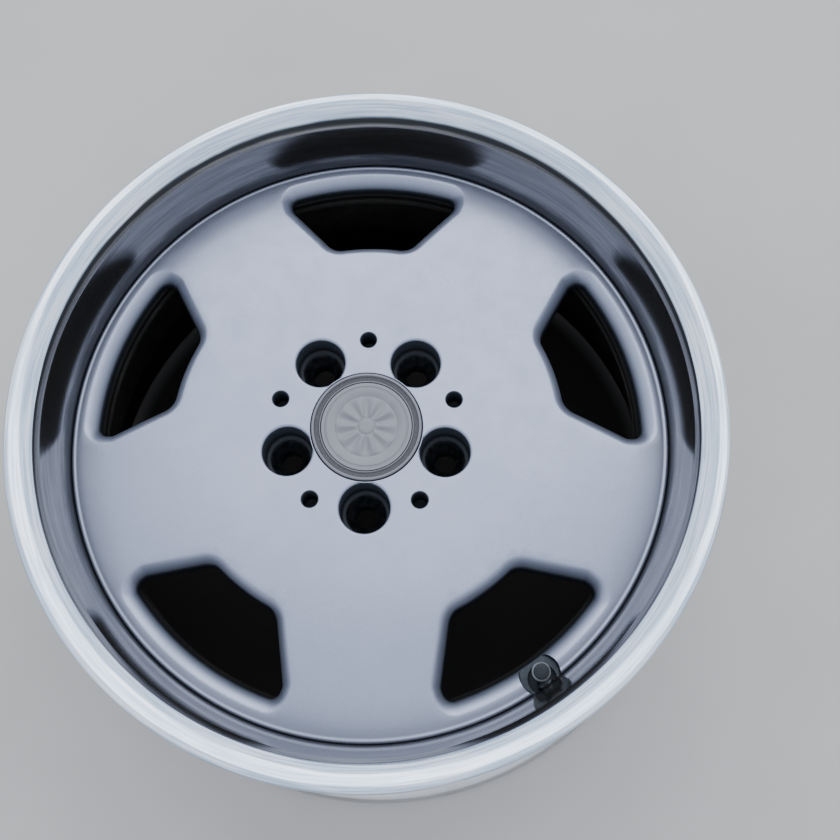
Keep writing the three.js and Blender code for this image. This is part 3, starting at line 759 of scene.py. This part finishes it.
def centre_disc():
    shell = Shell()
    front = []
    back = []

    window = window_rings()
    for a in window_directions:
        rings = [turned_ring(ring, 90 - a) for ring in window]
        shell.skin(rings)
        front.append(rings[0])
        back.append(rings[-1])

    pocket = [(POCKET_R + 2, FACE_Z), (POCKET_R, FACE_Z, 1.9), (POCKET_R, POCKET_Z, 2.5), (14.2, POCKET_Z)]
    pocket = rounded(pocket, closed=False)
    mouth = next(i for i, (_, z) in enumerate(pocket) if z < FACE_Z - 3) - 1
    cone = [(14.2, POCKET_Z), (13.6, POCKET_Z - 0.3), (11.6, POCKET_Z - 2.9), (9.6, SEAT_Z + 1.8)]
    cone += [(7.8, SEAT_Z)]
    bore = [(7.8, SEAT_Z), (7.8, PAD_Z + 0.9), (8.7, PAD_Z)]
    for a in bolt_directions:
        centre = polar(BOLT_CIRCLE_R, a)
        rings = [off_recess(ring) for ring in circles(pocket, 72, centre)]
        shell.skin(rings[: mouth + 1])
        shell.skin(rings[mouth:], mark=1)
        shell.spin(cone, 72, centre, mark=2)
        shell.spin(bore, 72, centre, mark=1)
        front.append(rings[0])
        back.append(circle(8.7, PAD_Z, 72, centre))

    pin = rounded([(6.5, FACE_Z), (5.4, FACE_Z, 1.0), (5.4, FACE_Z - 22, 1)], closed=False)
    pin += [(0, FACE_Z - 24)]
    for a in window_directions:
        centre = polar(PIN_CIRCLE_R, a)
        shell.spin(pin[:3], 40, centre)
        shell.spin(pin[2:], 40, centre, mark=1)
        front.append(circle(6.5, FACE_Z, 40, centre))

    recess = rounded(
        [
            (CAP_RECESS_R + 0.6, FACE_Z), (CAP_RECESS_R, FACE_Z, 0.5),
            (CAP_RECESS_R, CAP_RECESS_Z, 0.6), (HUB_BORE_R + 0.6, CAP_RECESS_Z),
            (HUB_BORE_R, CAP_RECESS_Z - 0.6), (HUB_BORE_R, PAD_Z + 1), (HUB_BORE_R + 1, PAD_Z),
        ],
        closed=False,
    )
    shell.spin(recess[:4], 144)
    shell.spin(recess[3:], 144, mark=1)
    front.append(circle(CAP_RECESS_R + 0.6, FACE_Z, 144))
    back.append(circle(HUB_BORE_R + 1, PAD_Z, 144))

    for a in rim_bolt_directions:
        centre = polar(RIM_BOLT_CIRCLE_R, a)
        tip = bolt_high.z
        profile = [(4.1, CLAMP_Z), (RIM_BOLT_HOLE_R, CLAMP_Z + 0.4), (RIM_BOLT_HOLE_R, tip - 1.2)]
        profile += [(2.8, tip + 0.05), (0, tip + 0.2)]
        shell.spin(profile, 20, centre, mark=1)
        back.append(circle(4.1, CLAMP_Z, 20, centre))

    bead = [(PLATE_R, 0), (200.4, -0.1), (201.2, -0.12), (201.9, 0.12), (202.5, 0.4), (203.0, 0.45)]
    bead += [(203.5, 0.3), (203.9, 0.1), (204.1, -0.1), (DISC_R, -0.3)]
    edge = [(r, float(face_z(r)) + dz) for r, dz in bead]
    shell.spin(edge + [(DISC_R, CLAMP_Z + 0.6), (DISC_R - 0.6, CLAMP_Z)], 360)

    radii = [42, 46, *np.arange(50, 197, 4.5)]
    plate(shell, circle(PLATE_R, 0, 360), front, radii, face_z)
    radii = [37, 42, 48, 56, 64, 70, *(p[0] for p in BACK_PROFILE[1:-3]), *np.arange(104, 200, 8)]
    plate(shell, circle(DISC_R - 0.6, 0, 360), back, sorted(radii), back_z, step=8.0, keep_off=1.5)

    disc = shell.piece("forged_disc", DISC_COATS)
    for cutter in notch_cutters():
        cut(disc, cutter)
    return finished(disc, "wheel", "silver_paint", "centre_disc")


def notch_cutters():
    """What the valve notch takes out of the disc's edge: the pocket and the hole for the shank."""
    turn = turned_z(VALVE_AT)
    here = turn @ Matrix.Translation((VALVE_R, 0, 0))
    beside = turn @ Matrix.Translation((VALVE_R + 3.1, 0, 0))
    pocket = Shell().spin(
        rounded([(0, 184.5), (13.5, 184.5, 1.6), (13.5, FACE_Z + 10), (0, FACE_Z + 10)], closed=False),
        96, mark=3,
    )
    clearance = Shell().spin([(0, CLAMP_Z - 6), (9.5, CLAMP_Z - 6), (9.5, FACE_Z), (0, FACE_Z)], 56, mark=3)
    return [
        pocket.moved(here).piece("pocket_cutter", DISC_COATS),
        clearance.moved(beside).piece("clearance_cutter", DISC_COATS),
    ]


# ---------------------------------------------------------------- rim halves

RIM_STEPS = 320


def bead_side(base, up):
    """One flange and bead seat, from the end of the seat's hump to the lip's inner edge."""
    seat_end = BEAD_SEAT_R - 19.5 * math.tan(math.radians(5))
    corners = [
        (seat_end - 2, -26.5, 6), (seat_end + 0.7, -23, 4), (seat_end, -19.5, 6),
        (BEAD_SEAT_R, -2.4, 2.5), (BEAD_SEAT_R + 2.4, 0, 2.5),
    ]
    curve_r = 9.5
    for a in np.linspace(-80, 0, 9):
        p = polar(curve_r, a)
        corners.append((RIM_R - curve_r + p[0], curve_r + p[1]))
    corners += [
        (RIM_R, FLANGE_WIDTH, 2.7), (229.8, FLANGE_WIDTH, 9), (223.8, FLANGE_WIDTH - 2.9, 14),
        (218.5, FLANGE_WIDTH - 7.7, 1.6), (214.9, FLANGE_WIDTH - 13.6, 5),
    ]
    return [(c[0], base + up * c[1], *c[2:]) for c in corners]


def bolt_hole_cutter(low, high, coats):
    shell = Shell()
    for a in rim_bolt_directions:
        profile = [(0, low), (RIM_BOLT_HOLE_R, low), (RIM_BOLT_HOLE_R, high), (0, high)]
        shell.spin(profile, 16, polar(RIM_BOLT_CIRCLE_R, a))
    return shell.piece("bolt_hole_cutter", coats)


def on_shank():
    """Places a shape made along +Z on the valve shank's axis, pointing into the dish."""
    turn = turned_z(VALVE_AT)
    place = Matrix.Translation((WALL_R, 0, VALVE_WALL[1]))
    return turn @ place @ Matrix.Rotation(-TILT, 4, "Y")


def outer_rim_half():
    seat = bead_side(TOP - FLANGE_WIDTH, 1)
    corners = [
        (FLANGE_BORE_R, SEAM_Z, 0.5), (206.6, SEAM_Z, 0.5), (213.4, SEAM_Z + 12, 8), (213.6, 195, 10),
        *seat, (WALL_R, 188, 5), (WALL_R, CLAMP_Z - GAP, 0.3), (FLANGE_BORE_R, CLAMP_Z - GAP, 0.5),
    ]
    shell = Shell().spin(rounded(corners, facet=9), RIM_STEPS, loop=True)
    rim = shell.piece("polished_outer_half", OUTER_COATS, 40)
    cut(rim, bolt_hole_cutter(SEAM_Z - 5, CLAMP_Z + 5, OUTER_COATS), 40)
    valve_hole = Shell().spin(
        [(0, -20), (4.6, -20), (4.6, -0.6), (5.2, 0), (6.2, 0), (6.2, 6), (0, 6)], 48
    )
    cut(rim, valve_hole.moved(on_shank()).piece("valve_hole_cutter", OUTER_COATS), 40)

    def mid_wall(z):
        return 206.6 + 0.255 * max(0, z - 188)

    repaint(rim, 1, lambda r, z: CLAMP_Z < z < TOP - 7.9 and r < mid_wall(z))
    repaint(rim, 3, lambda r, z: z < TOP - FLANGE_WIDTH and r > mid_wall(z))
    repaint(rim, 2, lambda r, z: r < 207 and z < CLAMP_Z + 0.1)
    return finished(rim, "wheel", "polished_rim", "outer_rim_half")


def inner_rim_half():
    bead = [(c[0], c[1], *c[2:]) for c in bead_side(FLANGE_WIDTH, -1)]
    well = [
        (213, 48, 20), (200.8, 96, 12), (200.8, 146, 8), (204.2, 153, 6), (204.2, 165, 1.5),
        (207, 168, 0.6), (207, INNER_TOP, 0.5),
    ]
    inside = [
        (FLANGE_BORE_R, INNER_TOP, 0.5), (FLANGE_BORE_R, 167, 0.5), (199.7, 167, 3), (199.7, 154, 5),
        (196.3, 147, 8), (196.3, 97, 12), (208.5, 48, 20),
    ]
    outside = rounded(bead[::-1] + well + inside, facet=9)
    shell = Shell()
    count = len(outside)
    first = next(i for i, p in enumerate(outside) if p[0] < FLANGE_BORE_R + 2)
    rings = [circle(r, z, RIM_STEPS) for r, z in outside]
    shell.skin(rings[: first + 1])
    shell.skin(rings[first:] + rings[:1], mark=1)
    rim = shell.piece("turned_inner_half", INNER_COATS, 40)
    cut(rim, bolt_hole_cutter(150, SEAM_Z + 5, INNER_COATS), 40)
    return finished(rim, "wheel", "machined_rim", "inner_rim_half")


def sealant_bead():
    """A hand-run fillet of sealant over the seam: its bulge wanders a little."""
    rng = np.random.default_rng(5)
    angles = round_angles(240)
    bulge = sum(rng.uniform(0.02, 0.09) * np.sin(k * angles + rng.uniform(0, 6)) for k in (5, 9, 14, 23))
    rings = []
    for r, z, swell in ((207.35, 170, 0), (208.1, 170.3, 0.5), (208.75, 171.1, 1), (208.8, 172.2, 1),
                        (208.4, 173.1, 0.7), (207.9, 173.4, 0), (207.4, 172.4, 0)):
        rings.append(uneven_ring(r + swell * bulge, z))
    bead = Shell().skin(rings, loop=True).piece("sealant_fillet", [SEALANT], 60)
    return finished(bead, "wheel", "sealant", "sealant_bead")


# ---------------------------------------------------------------- rim bolts


def star_ring(outer, inner, z, points, per_side=2):
    """A ring that swings between two radii, as a twelve-point head does."""
    a = round_angles(points * 2 * per_side)
    wave = np.abs(((a * points / (2 * math.pi)) % 1) * 2 - 1)
    return uneven_ring(inner + (outer - inner) * wave, z)


def rim_bolt(number, degrees):
    """A twelve-point flanged bolt with a rolled thread."""
    foot = bolt_low.z
    seat = foot + 7
    tip = bolt_high.z
    socket = [(0, foot + 1.2), (2.2, foot + 1.2), (2.6, foot + 0.2), (3.4, foot)]
    points = [star_ring(4.25, 3.9, foot + 0.25, 12), star_ring(4.5, 3.95, foot + 0.6, 12)]
    points += [star_ring(4.5, 3.95, seat - 2.2, 12)]
    shank = [(4.7, seat - 1.9), (5.2, seat - 1.2), (5.2, seat - 0.15), (5.05, seat), (3.3, seat)]
    shank += [(3.3, tip - 8.5)]
    pitch = 1.0
    for i in range(8):
        z = tip - 8.4 + i * pitch
        shank += [(3.3, z), (2.75, z + pitch * 0.5)]
    shank += [(2.9, tip - 0.3), (2.5, tip), (0, tip)]
    place = turned_z(degrees) @ Matrix.Translation((RIM_BOLT_CIRCLE_R, 0, 0))
    name = f"rim_bolt_{number:02d}"
    shell = Shell().skin(circles(socket, 48) + points + circles(shank, 48)).moved(place)
    return finished(shell.piece(name + "_detailed", [ZINC], 28), "wheel", "bolt_zinc", name)


# ---------------------------------------------------------------- centre cap

BADGE_SEAT_R = 31.2
LEG_OUTER_R = 32.8
LEG_INNER_R = 30.2


def cap_housing():
    plate_z = CAP_TOP - 6.1
    floor_z = CAP_TOP - 3.0
    bezel = rounded(
        [
            (CAP_R, CAP_RECESS_Z + GAP, 0.4), (CAP_R, CAP_TOP - 0.5, 0.5), (CAP_R - 0.9, CAP_TOP, 0.4),
            (CAP_R - 1.7, CAP_TOP, 0.4), (CAP_R - 2.4, CAP_TOP - 1.5, 0.4),
            (CAP_R - 5.0, CAP_TOP - 1.6, 0.4), (CAP_R - 5.6, CAP_TOP - 0.6, 0.3),
            (BADGE_SEAT_R + 0.25, CAP_TOP - 0.6, 0.25), (BADGE_SEAT_R, floor_z, 0.3), (0, floor_z),
        ],
        closed=False,
    )
    under = rounded(
        [
            (0, plate_z), (LEG_INNER_R, plate_z, 1), (LEG_INNER_R, CAP_FOOT, 0.4),
            (LEG_OUTER_R, CAP_FOOT, 0.8), (LEG_OUTER_R, CAP_RECESS_Z + GAP, 0.8),
            (CAP_R, CAP_RECESS_Z + GAP),
        ],
        closed=False,
    )
    profile = under[:-1] + bezel
    groove = [i for i, (r, z) in enumerate(profile) if z > CAP_TOP - 1.7 and CAP_R - 5.5 < r < CAP_R - 1.9]
    shell = Shell()
    shell.spin(profile[: groove[0] + 1], 180)
    shell.spin(profile[groove[0] : groove[-1] + 1], 180, mark=1)
    shell.spin(profile[groove[-1] :], 180)
    housing = shell.piece("cap_bezel_and_legs", CAP_COATS, 30)
    slot_top = CAP_RECESS_Z - 2
    slots = Shell()
    for i in range(6):
        turn = turned_z(30 + i * 60)
        half = 6
        corners = [(24, -half), (44, -half), (44, half), (24, half)]
        rings = [[turn @ Vector((x, y, z)) for x, y in corners] for z in (CAP_FOOT - 5, slot_top)]
        centre = turn @ Vector((34, 0, 0))
        rings = [[centre + Vector((0, 0, CAP_FOOT - 5))]] + rings + [[centre + Vector((0, 0, slot_top))]]
        slots.skin(rings)
    cut(housing, slots.piece("slot_cutter", CAP_COATS), 30)
    return finished(housing, "centre_cap", "cap_paint", "cap_housing")


def cap_badge():
    """A plain badge: a satin face inside a fine ring, with a fluted rosette in the middle."""
    low = badge_low.z
    rim = BADGE_SEAT_R - GAP
    steps = 180
    top = CAP_TOP - 0.75
    edge = [
        (0, low), (rim - 0.4, low), (rim, low + 0.3), (rim, top - 0.3), (rim - 0.25, top), (28.6, top),
        (28.3, top - 0.35), (27.7, top - 0.35), (27.4, top - 0.05), (21.6, top - 0.05),
    ]
    rings = circles(edge, steps)
    petals = 10
    flute = 0.5 - 0.5 * np.cos(petals * round_angles(steps))
    for r, rise, depth in ((21.2, -0.25, 0.0), (20.6, 0.0, 0.2), (19.0, 0.25, 0.7), (16.0, 0.4, 1.0),
                           (12.0, 0.42, 1.05), (9.0, 0.36, 0.8), (7.4, 0.25, 0.4), (6.6, 0.0, 0.0)):
        ring = circle(r, 0, steps)
        ring[:, 2] = top + rise - depth * flute
        rings.append(ring)
    boss = [(6.0, top - 0.1), (5.4, top + 0.2), (4.4, top + 0.4), (2.0, top + 0.45), (0, top + 0.45)]
    rings += circles(boss, steps)
    badge = Shell().skin(rings).piece("cap_badge_plain", CAP_COATS, 30)
    return finished(badge, "centre_cap", "cap_paint", "cap_badge")


def wire_shell(angles, heights, reach, wire, facets):
    """Round wire wound about the Z axis, closed at both ends."""
    rings = []
    for a, z in zip(angles, heights):
        out = np.array([math.cos(a), math.sin(a), 0])
        centre = out * reach + np.array([0, 0, z])
        section = []
        for b in round_angles(facets):
            section.append(centre + wire * (out * math.cos(b) + np.array([0, 0, math.sin(b)])))
        rings.append(section)
    ends = [[np.mean(rings[0], axis=0)], [np.mean(rings[-1], axis=0)]]
    return Shell().skin([ends[0]] + rings + [ends[1]])


def cap_retaining_ring():
    """A spring wire ring, open at one side."""
    angles = np.radians(np.linspace(6, 354, 150))
    heights = np.full(150, (ring_low.z + ring_high.z) / 2)
    shell = wire_shell(angles, heights, ring_high.x - 0.9, 0.85, 14)
    ring = shell.piece("cap_spring_ring", [SPRING], 40)
    return finished(ring, "centre_cap", "spring_steel", "cap_retaining_ring")


# ---------------------------------------------------------------- valve

ELBOW_R = 5  # of the centreline
SHANK_END = -13.3
SHANK_REACH = (WALL_R - VALVE_R) / math.sin(TILT)
CUT_BACK = ELBOW_R * math.tan(TILT / 2)
STRAIGHT = SHANK_REACH - SHANK_END - CUT_BACK  # the shank's length up to the elbow
ELBOW_Z = VALVE_WALL[1] + SHANK_REACH * math.cos(TILT)
STEM_TOP = 203
CAP_PITCH = 0.794  # of the valve cap's thread
BORE_FOOT = ELBOW_Z + 3


def valve_path(s):
    """Point and direction of the stem's centreline at `s` mm from its end (radius, height)."""
    shank = np.array([-math.sin(TILT), math.cos(TILT)])
    start = np.array(VALVE_WALL) + shank * SHANK_END
    if s <= STRAIGHT:
        return start + shank * s, shank
    left = TILT - (s - STRAIGHT) / ELBOW_R
    if left > 0:
        centre = np.array([VALVE_R + ELBOW_R, ELBOW_Z + CUT_BACK])
        direction = np.array([-math.sin(left), math.cos(left)])
        return centre + ELBOW_R * polar(1, 180 + math.degrees(left)), direction
    return np.array([VALVE_R, ELBOW_Z + CUT_BACK - left * ELBOW_R]), np.array([0.0, 1.0])


VALVE_LENGTH = STRAIGHT + ELBOW_R * TILT - CUT_BACK + STEM_TOP - ELBOW_Z


def valve_ring(s, radius, steps=40):
    (r, z), (dr, dz) = valve_path(s)
    turn = turned_z(VALVE_AT)
    across = Vector((dz, 0, -dr))
    points = []
    for a in round_angles(steps):
        p = Vector((r, 0, z)) + across * radius * math.cos(a) + Vector((0, radius * math.sin(a), 0))
        points.append(turn @ p)
    return points


def valve_stem():
    """The angled stem: threaded shank, shoulder, elbow, and the threaded top that the cap screws on."""
    wall = -SHANK_END
    shoulder = wall + 1.6
    stations = [(0.0, 3.5), (0.4, 4.0)]
    pitch = 0.8
    for i in range(7):
        stations += [(0.5 + i * pitch, 4.1), (0.5 + (i + 0.5) * pitch, 3.7)]
    stations += [(6.3, 4.1), (shoulder - 0.01, 4.1), (shoulder, 5.4), (shoulder + 0.2, 5.6)]
    stations += [(shoulder + 2.0, 5.6), (shoulder + 2.3, 5.3), (shoulder + 2.6, 4.3), (shoulder + 3.0, 4.1)]
    stations += [(STRAIGHT + t * ELBOW_R * TILT, 4.15) for t in np.linspace(0, 1, 11)]
    top = VALVE_LENGTH
    skirt = top - (STEM_TOP - valve_cap_low.z)
    stations += [(skirt - 1.4, 4.2), (skirt - 1.0, 3.85), (skirt + 0.6, 3.85)]
    for i in range(7):
        s = skirt + 0.9 + i * CAP_PITCH
        stations += [(s, 3.85), (s + CAP_PITCH / 2, 3.45)]
    stations += [(top - 0.5, 3.8), (top - 0.1, 3.5), (top, 3.3)]
    stations += [(top, 2.95), (top - 0.3, 2.7)]
    bore = top - (STEM_TOP - BORE_FOOT)
    stations += [(bore, 2.7), (bore - 0.05, 1.5)]
    stations += [(STRAIGHT + t * ELBOW_R * TILT, 1.5) for t in np.linspace(1, 0, 9)]
    stations += [(0.0, 1.5)]
    rings = [valve_ring(s, r) for s, r in stations]
    stem = Shell().skin(rings, loop=True).piece("valve_stem_bent", [NICKEL_SHADE], 30)
    return finished(stem, "wheel", "valve_nickel", "valve_stem")


def shank_piece(name, profile, steps, slot, material, node):
    shell = Shell().spin(rounded(profile), steps, loop=True).moved(on_shank())
    return finished(shell.piece(name, [material], 30), "wheel", slot, node)


def valve_fittings():
    """Grommet, washer and nut on the shank."""
    grommet = [(4.4, GAP, 0.2), (5.6, GAP, 0.3), (5.75, 0.8, 0.3), (5.6, 1.3, 0.3), (4.4, 1.3, 0.2)]
    shank_piece("valve_grommet_moulded", grommet, 48, "seal_rubber", RUBBER, "valve_grommet")
    top = -VALVE_WALL_T - GAP
    washer = [(4.4, top - 1.2, 0.15), (5.4, top - 1.2, 0.25), (5.4, top, 0.25), (4.4, top, 0.15)]
    shank_piece("valve_washer_round", washer, 48, "bolt_zinc", ZINC, "valve_washer")
    top -= 1.5
    a = round_angles(48)
    hexagon = math.cos(math.pi / 6) / np.cos((a % (math.pi / 3)) - math.pi / 6)
    rings = []
    for down, reach, share in ((4, 4.3, 0), (4, 4.95, 0), (3.6, 5.77, 0.8), (3.3, 5.77, 1),
                               (0.7, 5.77, 1), (0.4, 5.77, 0.8), (0, 4.95, 0), (0, 4.3, 0)):
        rings.append(uneven_ring(reach * (1 + share * (hexagon - 1)), top - down))
    nut = Shell().skin(rings, loop=True).moved(on_shank()).piece("valve_nut_hex", [ZINC], 25)
    finished(nut, "wheel", "bolt_zinc", "valve_nut")


def upright():
    """Places a shape made round the Z axis on the standing part's axis."""
    return Matrix.Translation((valve_axis.x, valve_axis.y, 0))


def valve_core():
    low, high = core_low.z, core_high.z
    body = [
        (0.85, low, 0.1), (2.15, low, 0.2), (2.2, low + 1.6, 0.1), (1.95, low + 1.9, 0.1),
        (1.95, low + 3.4, 0.1), (2.4, low + 3.7, 0.1),
        *[(2.4 - 0.2 * (i % 2), low + 4.0 + 0.35 * i) for i in range(10)], (2.4, high, 0.15),
        (1.8, high, 0.15), (1.8, low + 0.7, 0.1), (0.85, low + 0.7, 0.1),
    ]
    shell = Shell().spin(rounded(body), 40, loop=True).moved(upright())
    finished(shell.piece("valve_core_sleeve", [BRASS], 30), "wheel", "brass", "valve_core_body")
    foot, top = pin_low.z, pin_high.z
    collar = top - 2.2
    pin = rounded(
        [
            (0, foot), (1.5, foot, 0.25), (1.5, foot + 1, 0.15), (0.5, foot + 1.0, 0.1),
            (0.5, collar, 0.1), (0.88, collar, 0.1), (0.88, collar + 0.6, 0.1),
            (0.5, collar + 0.6, 0.1), (0.5, top, 0.2), (0, top),
        ],
        closed=False,
    )
    shell = Shell().spin(pin, 32).moved(upright())
    finished(shell.piece("valve_core_needle", [BRASS], 30), "core_pin", "brass", "valve_core_pin")


def valve_core_spring():
    wire = 0.2
    turns = 4
    count = 24 * turns + 1
    angles = np.linspace(0, 2 * math.pi * turns, count)
    heights = np.linspace(spring_low.z + wire, spring_high.z - wire, count)
    shell = wire_shell(angles, heights, 1.15, wire, 10).moved(upright())
    finished(shell.piece("valve_core_coil", [SPRING], 50), "wheel", "spring_steel", "valve_core_spring")


def valve_cap():
    """A ribbed plastic cap: thirty fine grips and a smooth, flat crown."""
    steps = 240
    low, top = valve_cap_low.z, valve_cap_high.z
    outer = (valve_cap_high.y - valve_cap_low.y) / 2
    groove = np.maximum(0, np.cos(round_angles(steps) * 30)) ** 0.8
    bore = [(0, top - 2.4), (4.25, top - 2.4), (4.25, low), (outer - 0.35, low), (outer, low + 0.35)]
    grips = [uneven_ring(outer - 0.4 * groove, z) for z in (low + 1.5, top - 4.2)]
    crown = [
        (outer - 0.08, top - 3.7), (outer - 0.3, top - 3.1), (outer - 0.7, top - 2.7),
        (outer - 1.0, top - 2.5), (outer - 1.05, top - 0.6), (outer - 1.2, top - 0.2),
        (outer - 1.5, top), (outer - 4.4, top), (0, top),
    ]
    rings = circles(bore + [(outer, low + 1.3)], steps) + grips + circles(crown, steps)
    shell = Shell().skin(rings).moved(upright())
    cap = shell.piece("valve_cap_ribbed", [CAP_PLASTIC, CAP_EDGE_HIGHLIGHT], 35)
    # painted highlight on the crown's shoulder
    repaint(cap, 1, lambda r, z: top - 4.0 < z < top - 2.45)
    finished(cap, "valve_cap", "valve_cap_plastic", "valve_cap")


def valve_seal():
    profile = rounded(
        [(0, seal_low.z), (3.7, seal_low.z, 0.25), (3.7, seal_high.z, 0.25), (0, seal_high.z)], closed=False
    )
    shell = Shell().spin(profile, 40).moved(upright())
    finished(shell.piece("valve_cap_gasket", [RUBBER], 35), "valve_seal", "seal_rubber", "valve_cap_seal")


# ---------------------------------------------------------------- stage


def camera():
    data = bpy.data.cameras.new("camera")
    data.sensor_width = 36
    data.lens = 56.447
    data.shift_x = 0.0417
    data.shift_y = -0.131
    made = bpy.data.objects.new("camera", data)
    made.location = (0.0577, -0.2539, 1.0575)
    made.rotation_euler = Euler([math.radians(a) for a in (21.578, 2.691, 1.074)])
    bpy.context.scene.collection.objects.link(made)
    bpy.context.scene.camera = made


def floor():
    size = 6.0  # metres
    mesh = bpy.data.meshes.new("floor")
    corners = [(-size, -size, 0), (size, -size, 0), (size, size, 0), (-size, size, 0)]
    mesh.from_pydata(corners, [], [(0, 1, 2, 3)])
    made = bpy.data.objects.new("floor", mesh)
    made.location.z = cad_box[0].z
    bpy.context.scene.collection.objects.link(made)
    look = Look("pale_floor", 0.0, 0.75)
    cloud = look.noise(2.5, 5.0, 0.6)
    pale = look.mix(look.span(cloud, 0.3, 0.7), (0.43, 0.42, 0.405), (0.48, 0.47, 0.455))
    # painted shadow: the floor is near black under the wheel, where it shows through the windows
    shadow_under_wheel = look.span(look.radius(), 205 * MM, 230 * MM)
    look.set("Base Color", look.mix(shadow_under_wheel, (0.030, 0.028, 0.027), pale))
    look.set("Normal", look.bump(look.noise(180.0, 4.0), 0.08, 0.001))
    mesh.materials.append(look.material)


def area_light(name, place, aim, size, power):
    data = bpy.data.lights.new(name, "AREA")
    data.shape = "DISK"
    data.size = size
    data.energy = power
    made = bpy.data.objects.new(name, data)
    made.location = place
    made.rotation_euler = (Vector(aim) - Vector(place)).to_track_quat("-Z", "Y").to_euler()
    bpy.context.scene.collection.objects.link(made)


def sky():
    """A soft studio sky, brighter on the +Y side."""
    world = bpy.data.worlds.new("studio")
    bpy.context.scene.world = world
    world.use_nodes = True
    tree = world.node_tree
    place = tree.nodes.new("ShaderNodeTexCoord").outputs["Generated"]
    axes = tree.nodes.new("ShaderNodeSeparateXYZ")
    tree.links.new(place, axes.inputs[0])
    share = tree.nodes.new("ShaderNodeMapRange")
    share.inputs["From Min"].default_value = -1.0
    tree.links.new(axes.outputs[1], share.inputs["Value"])
    ramp = tree.nodes.new("ShaderNodeValToRGB")
    tree.links.new(share.outputs[0], ramp.inputs[0])
    ramp.color_ramp.elements[0].color = (0.82, 0.87, 0.98, 1)
    ramp.color_ramp.elements[1].color = (1.22, 1.28, 1.42, 1)
    background = tree.nodes["Background"]
    tree.links.new(ramp.outputs[0], background.inputs[0])
    background.inputs[1].default_value = 1.24


# ---------------------------------------------------------------- assembly

camera()
centre_disc()
outer_rim_half()
inner_rim_half()
sealant_bead()
for index, direction in enumerate(rim_bolt_directions):
    rim_bolt(index + 1, direction)
cap_housing()
cap_badge()
cap_retaining_ring()
valve_stem()
valve_fittings()
valve_core()
valve_core_spring()
valve_cap()
valve_seal()
floor()
sky()
area_light("key", (0.2, 1.7, 2.4), (0, 0, 0.2), 3.4, 45)
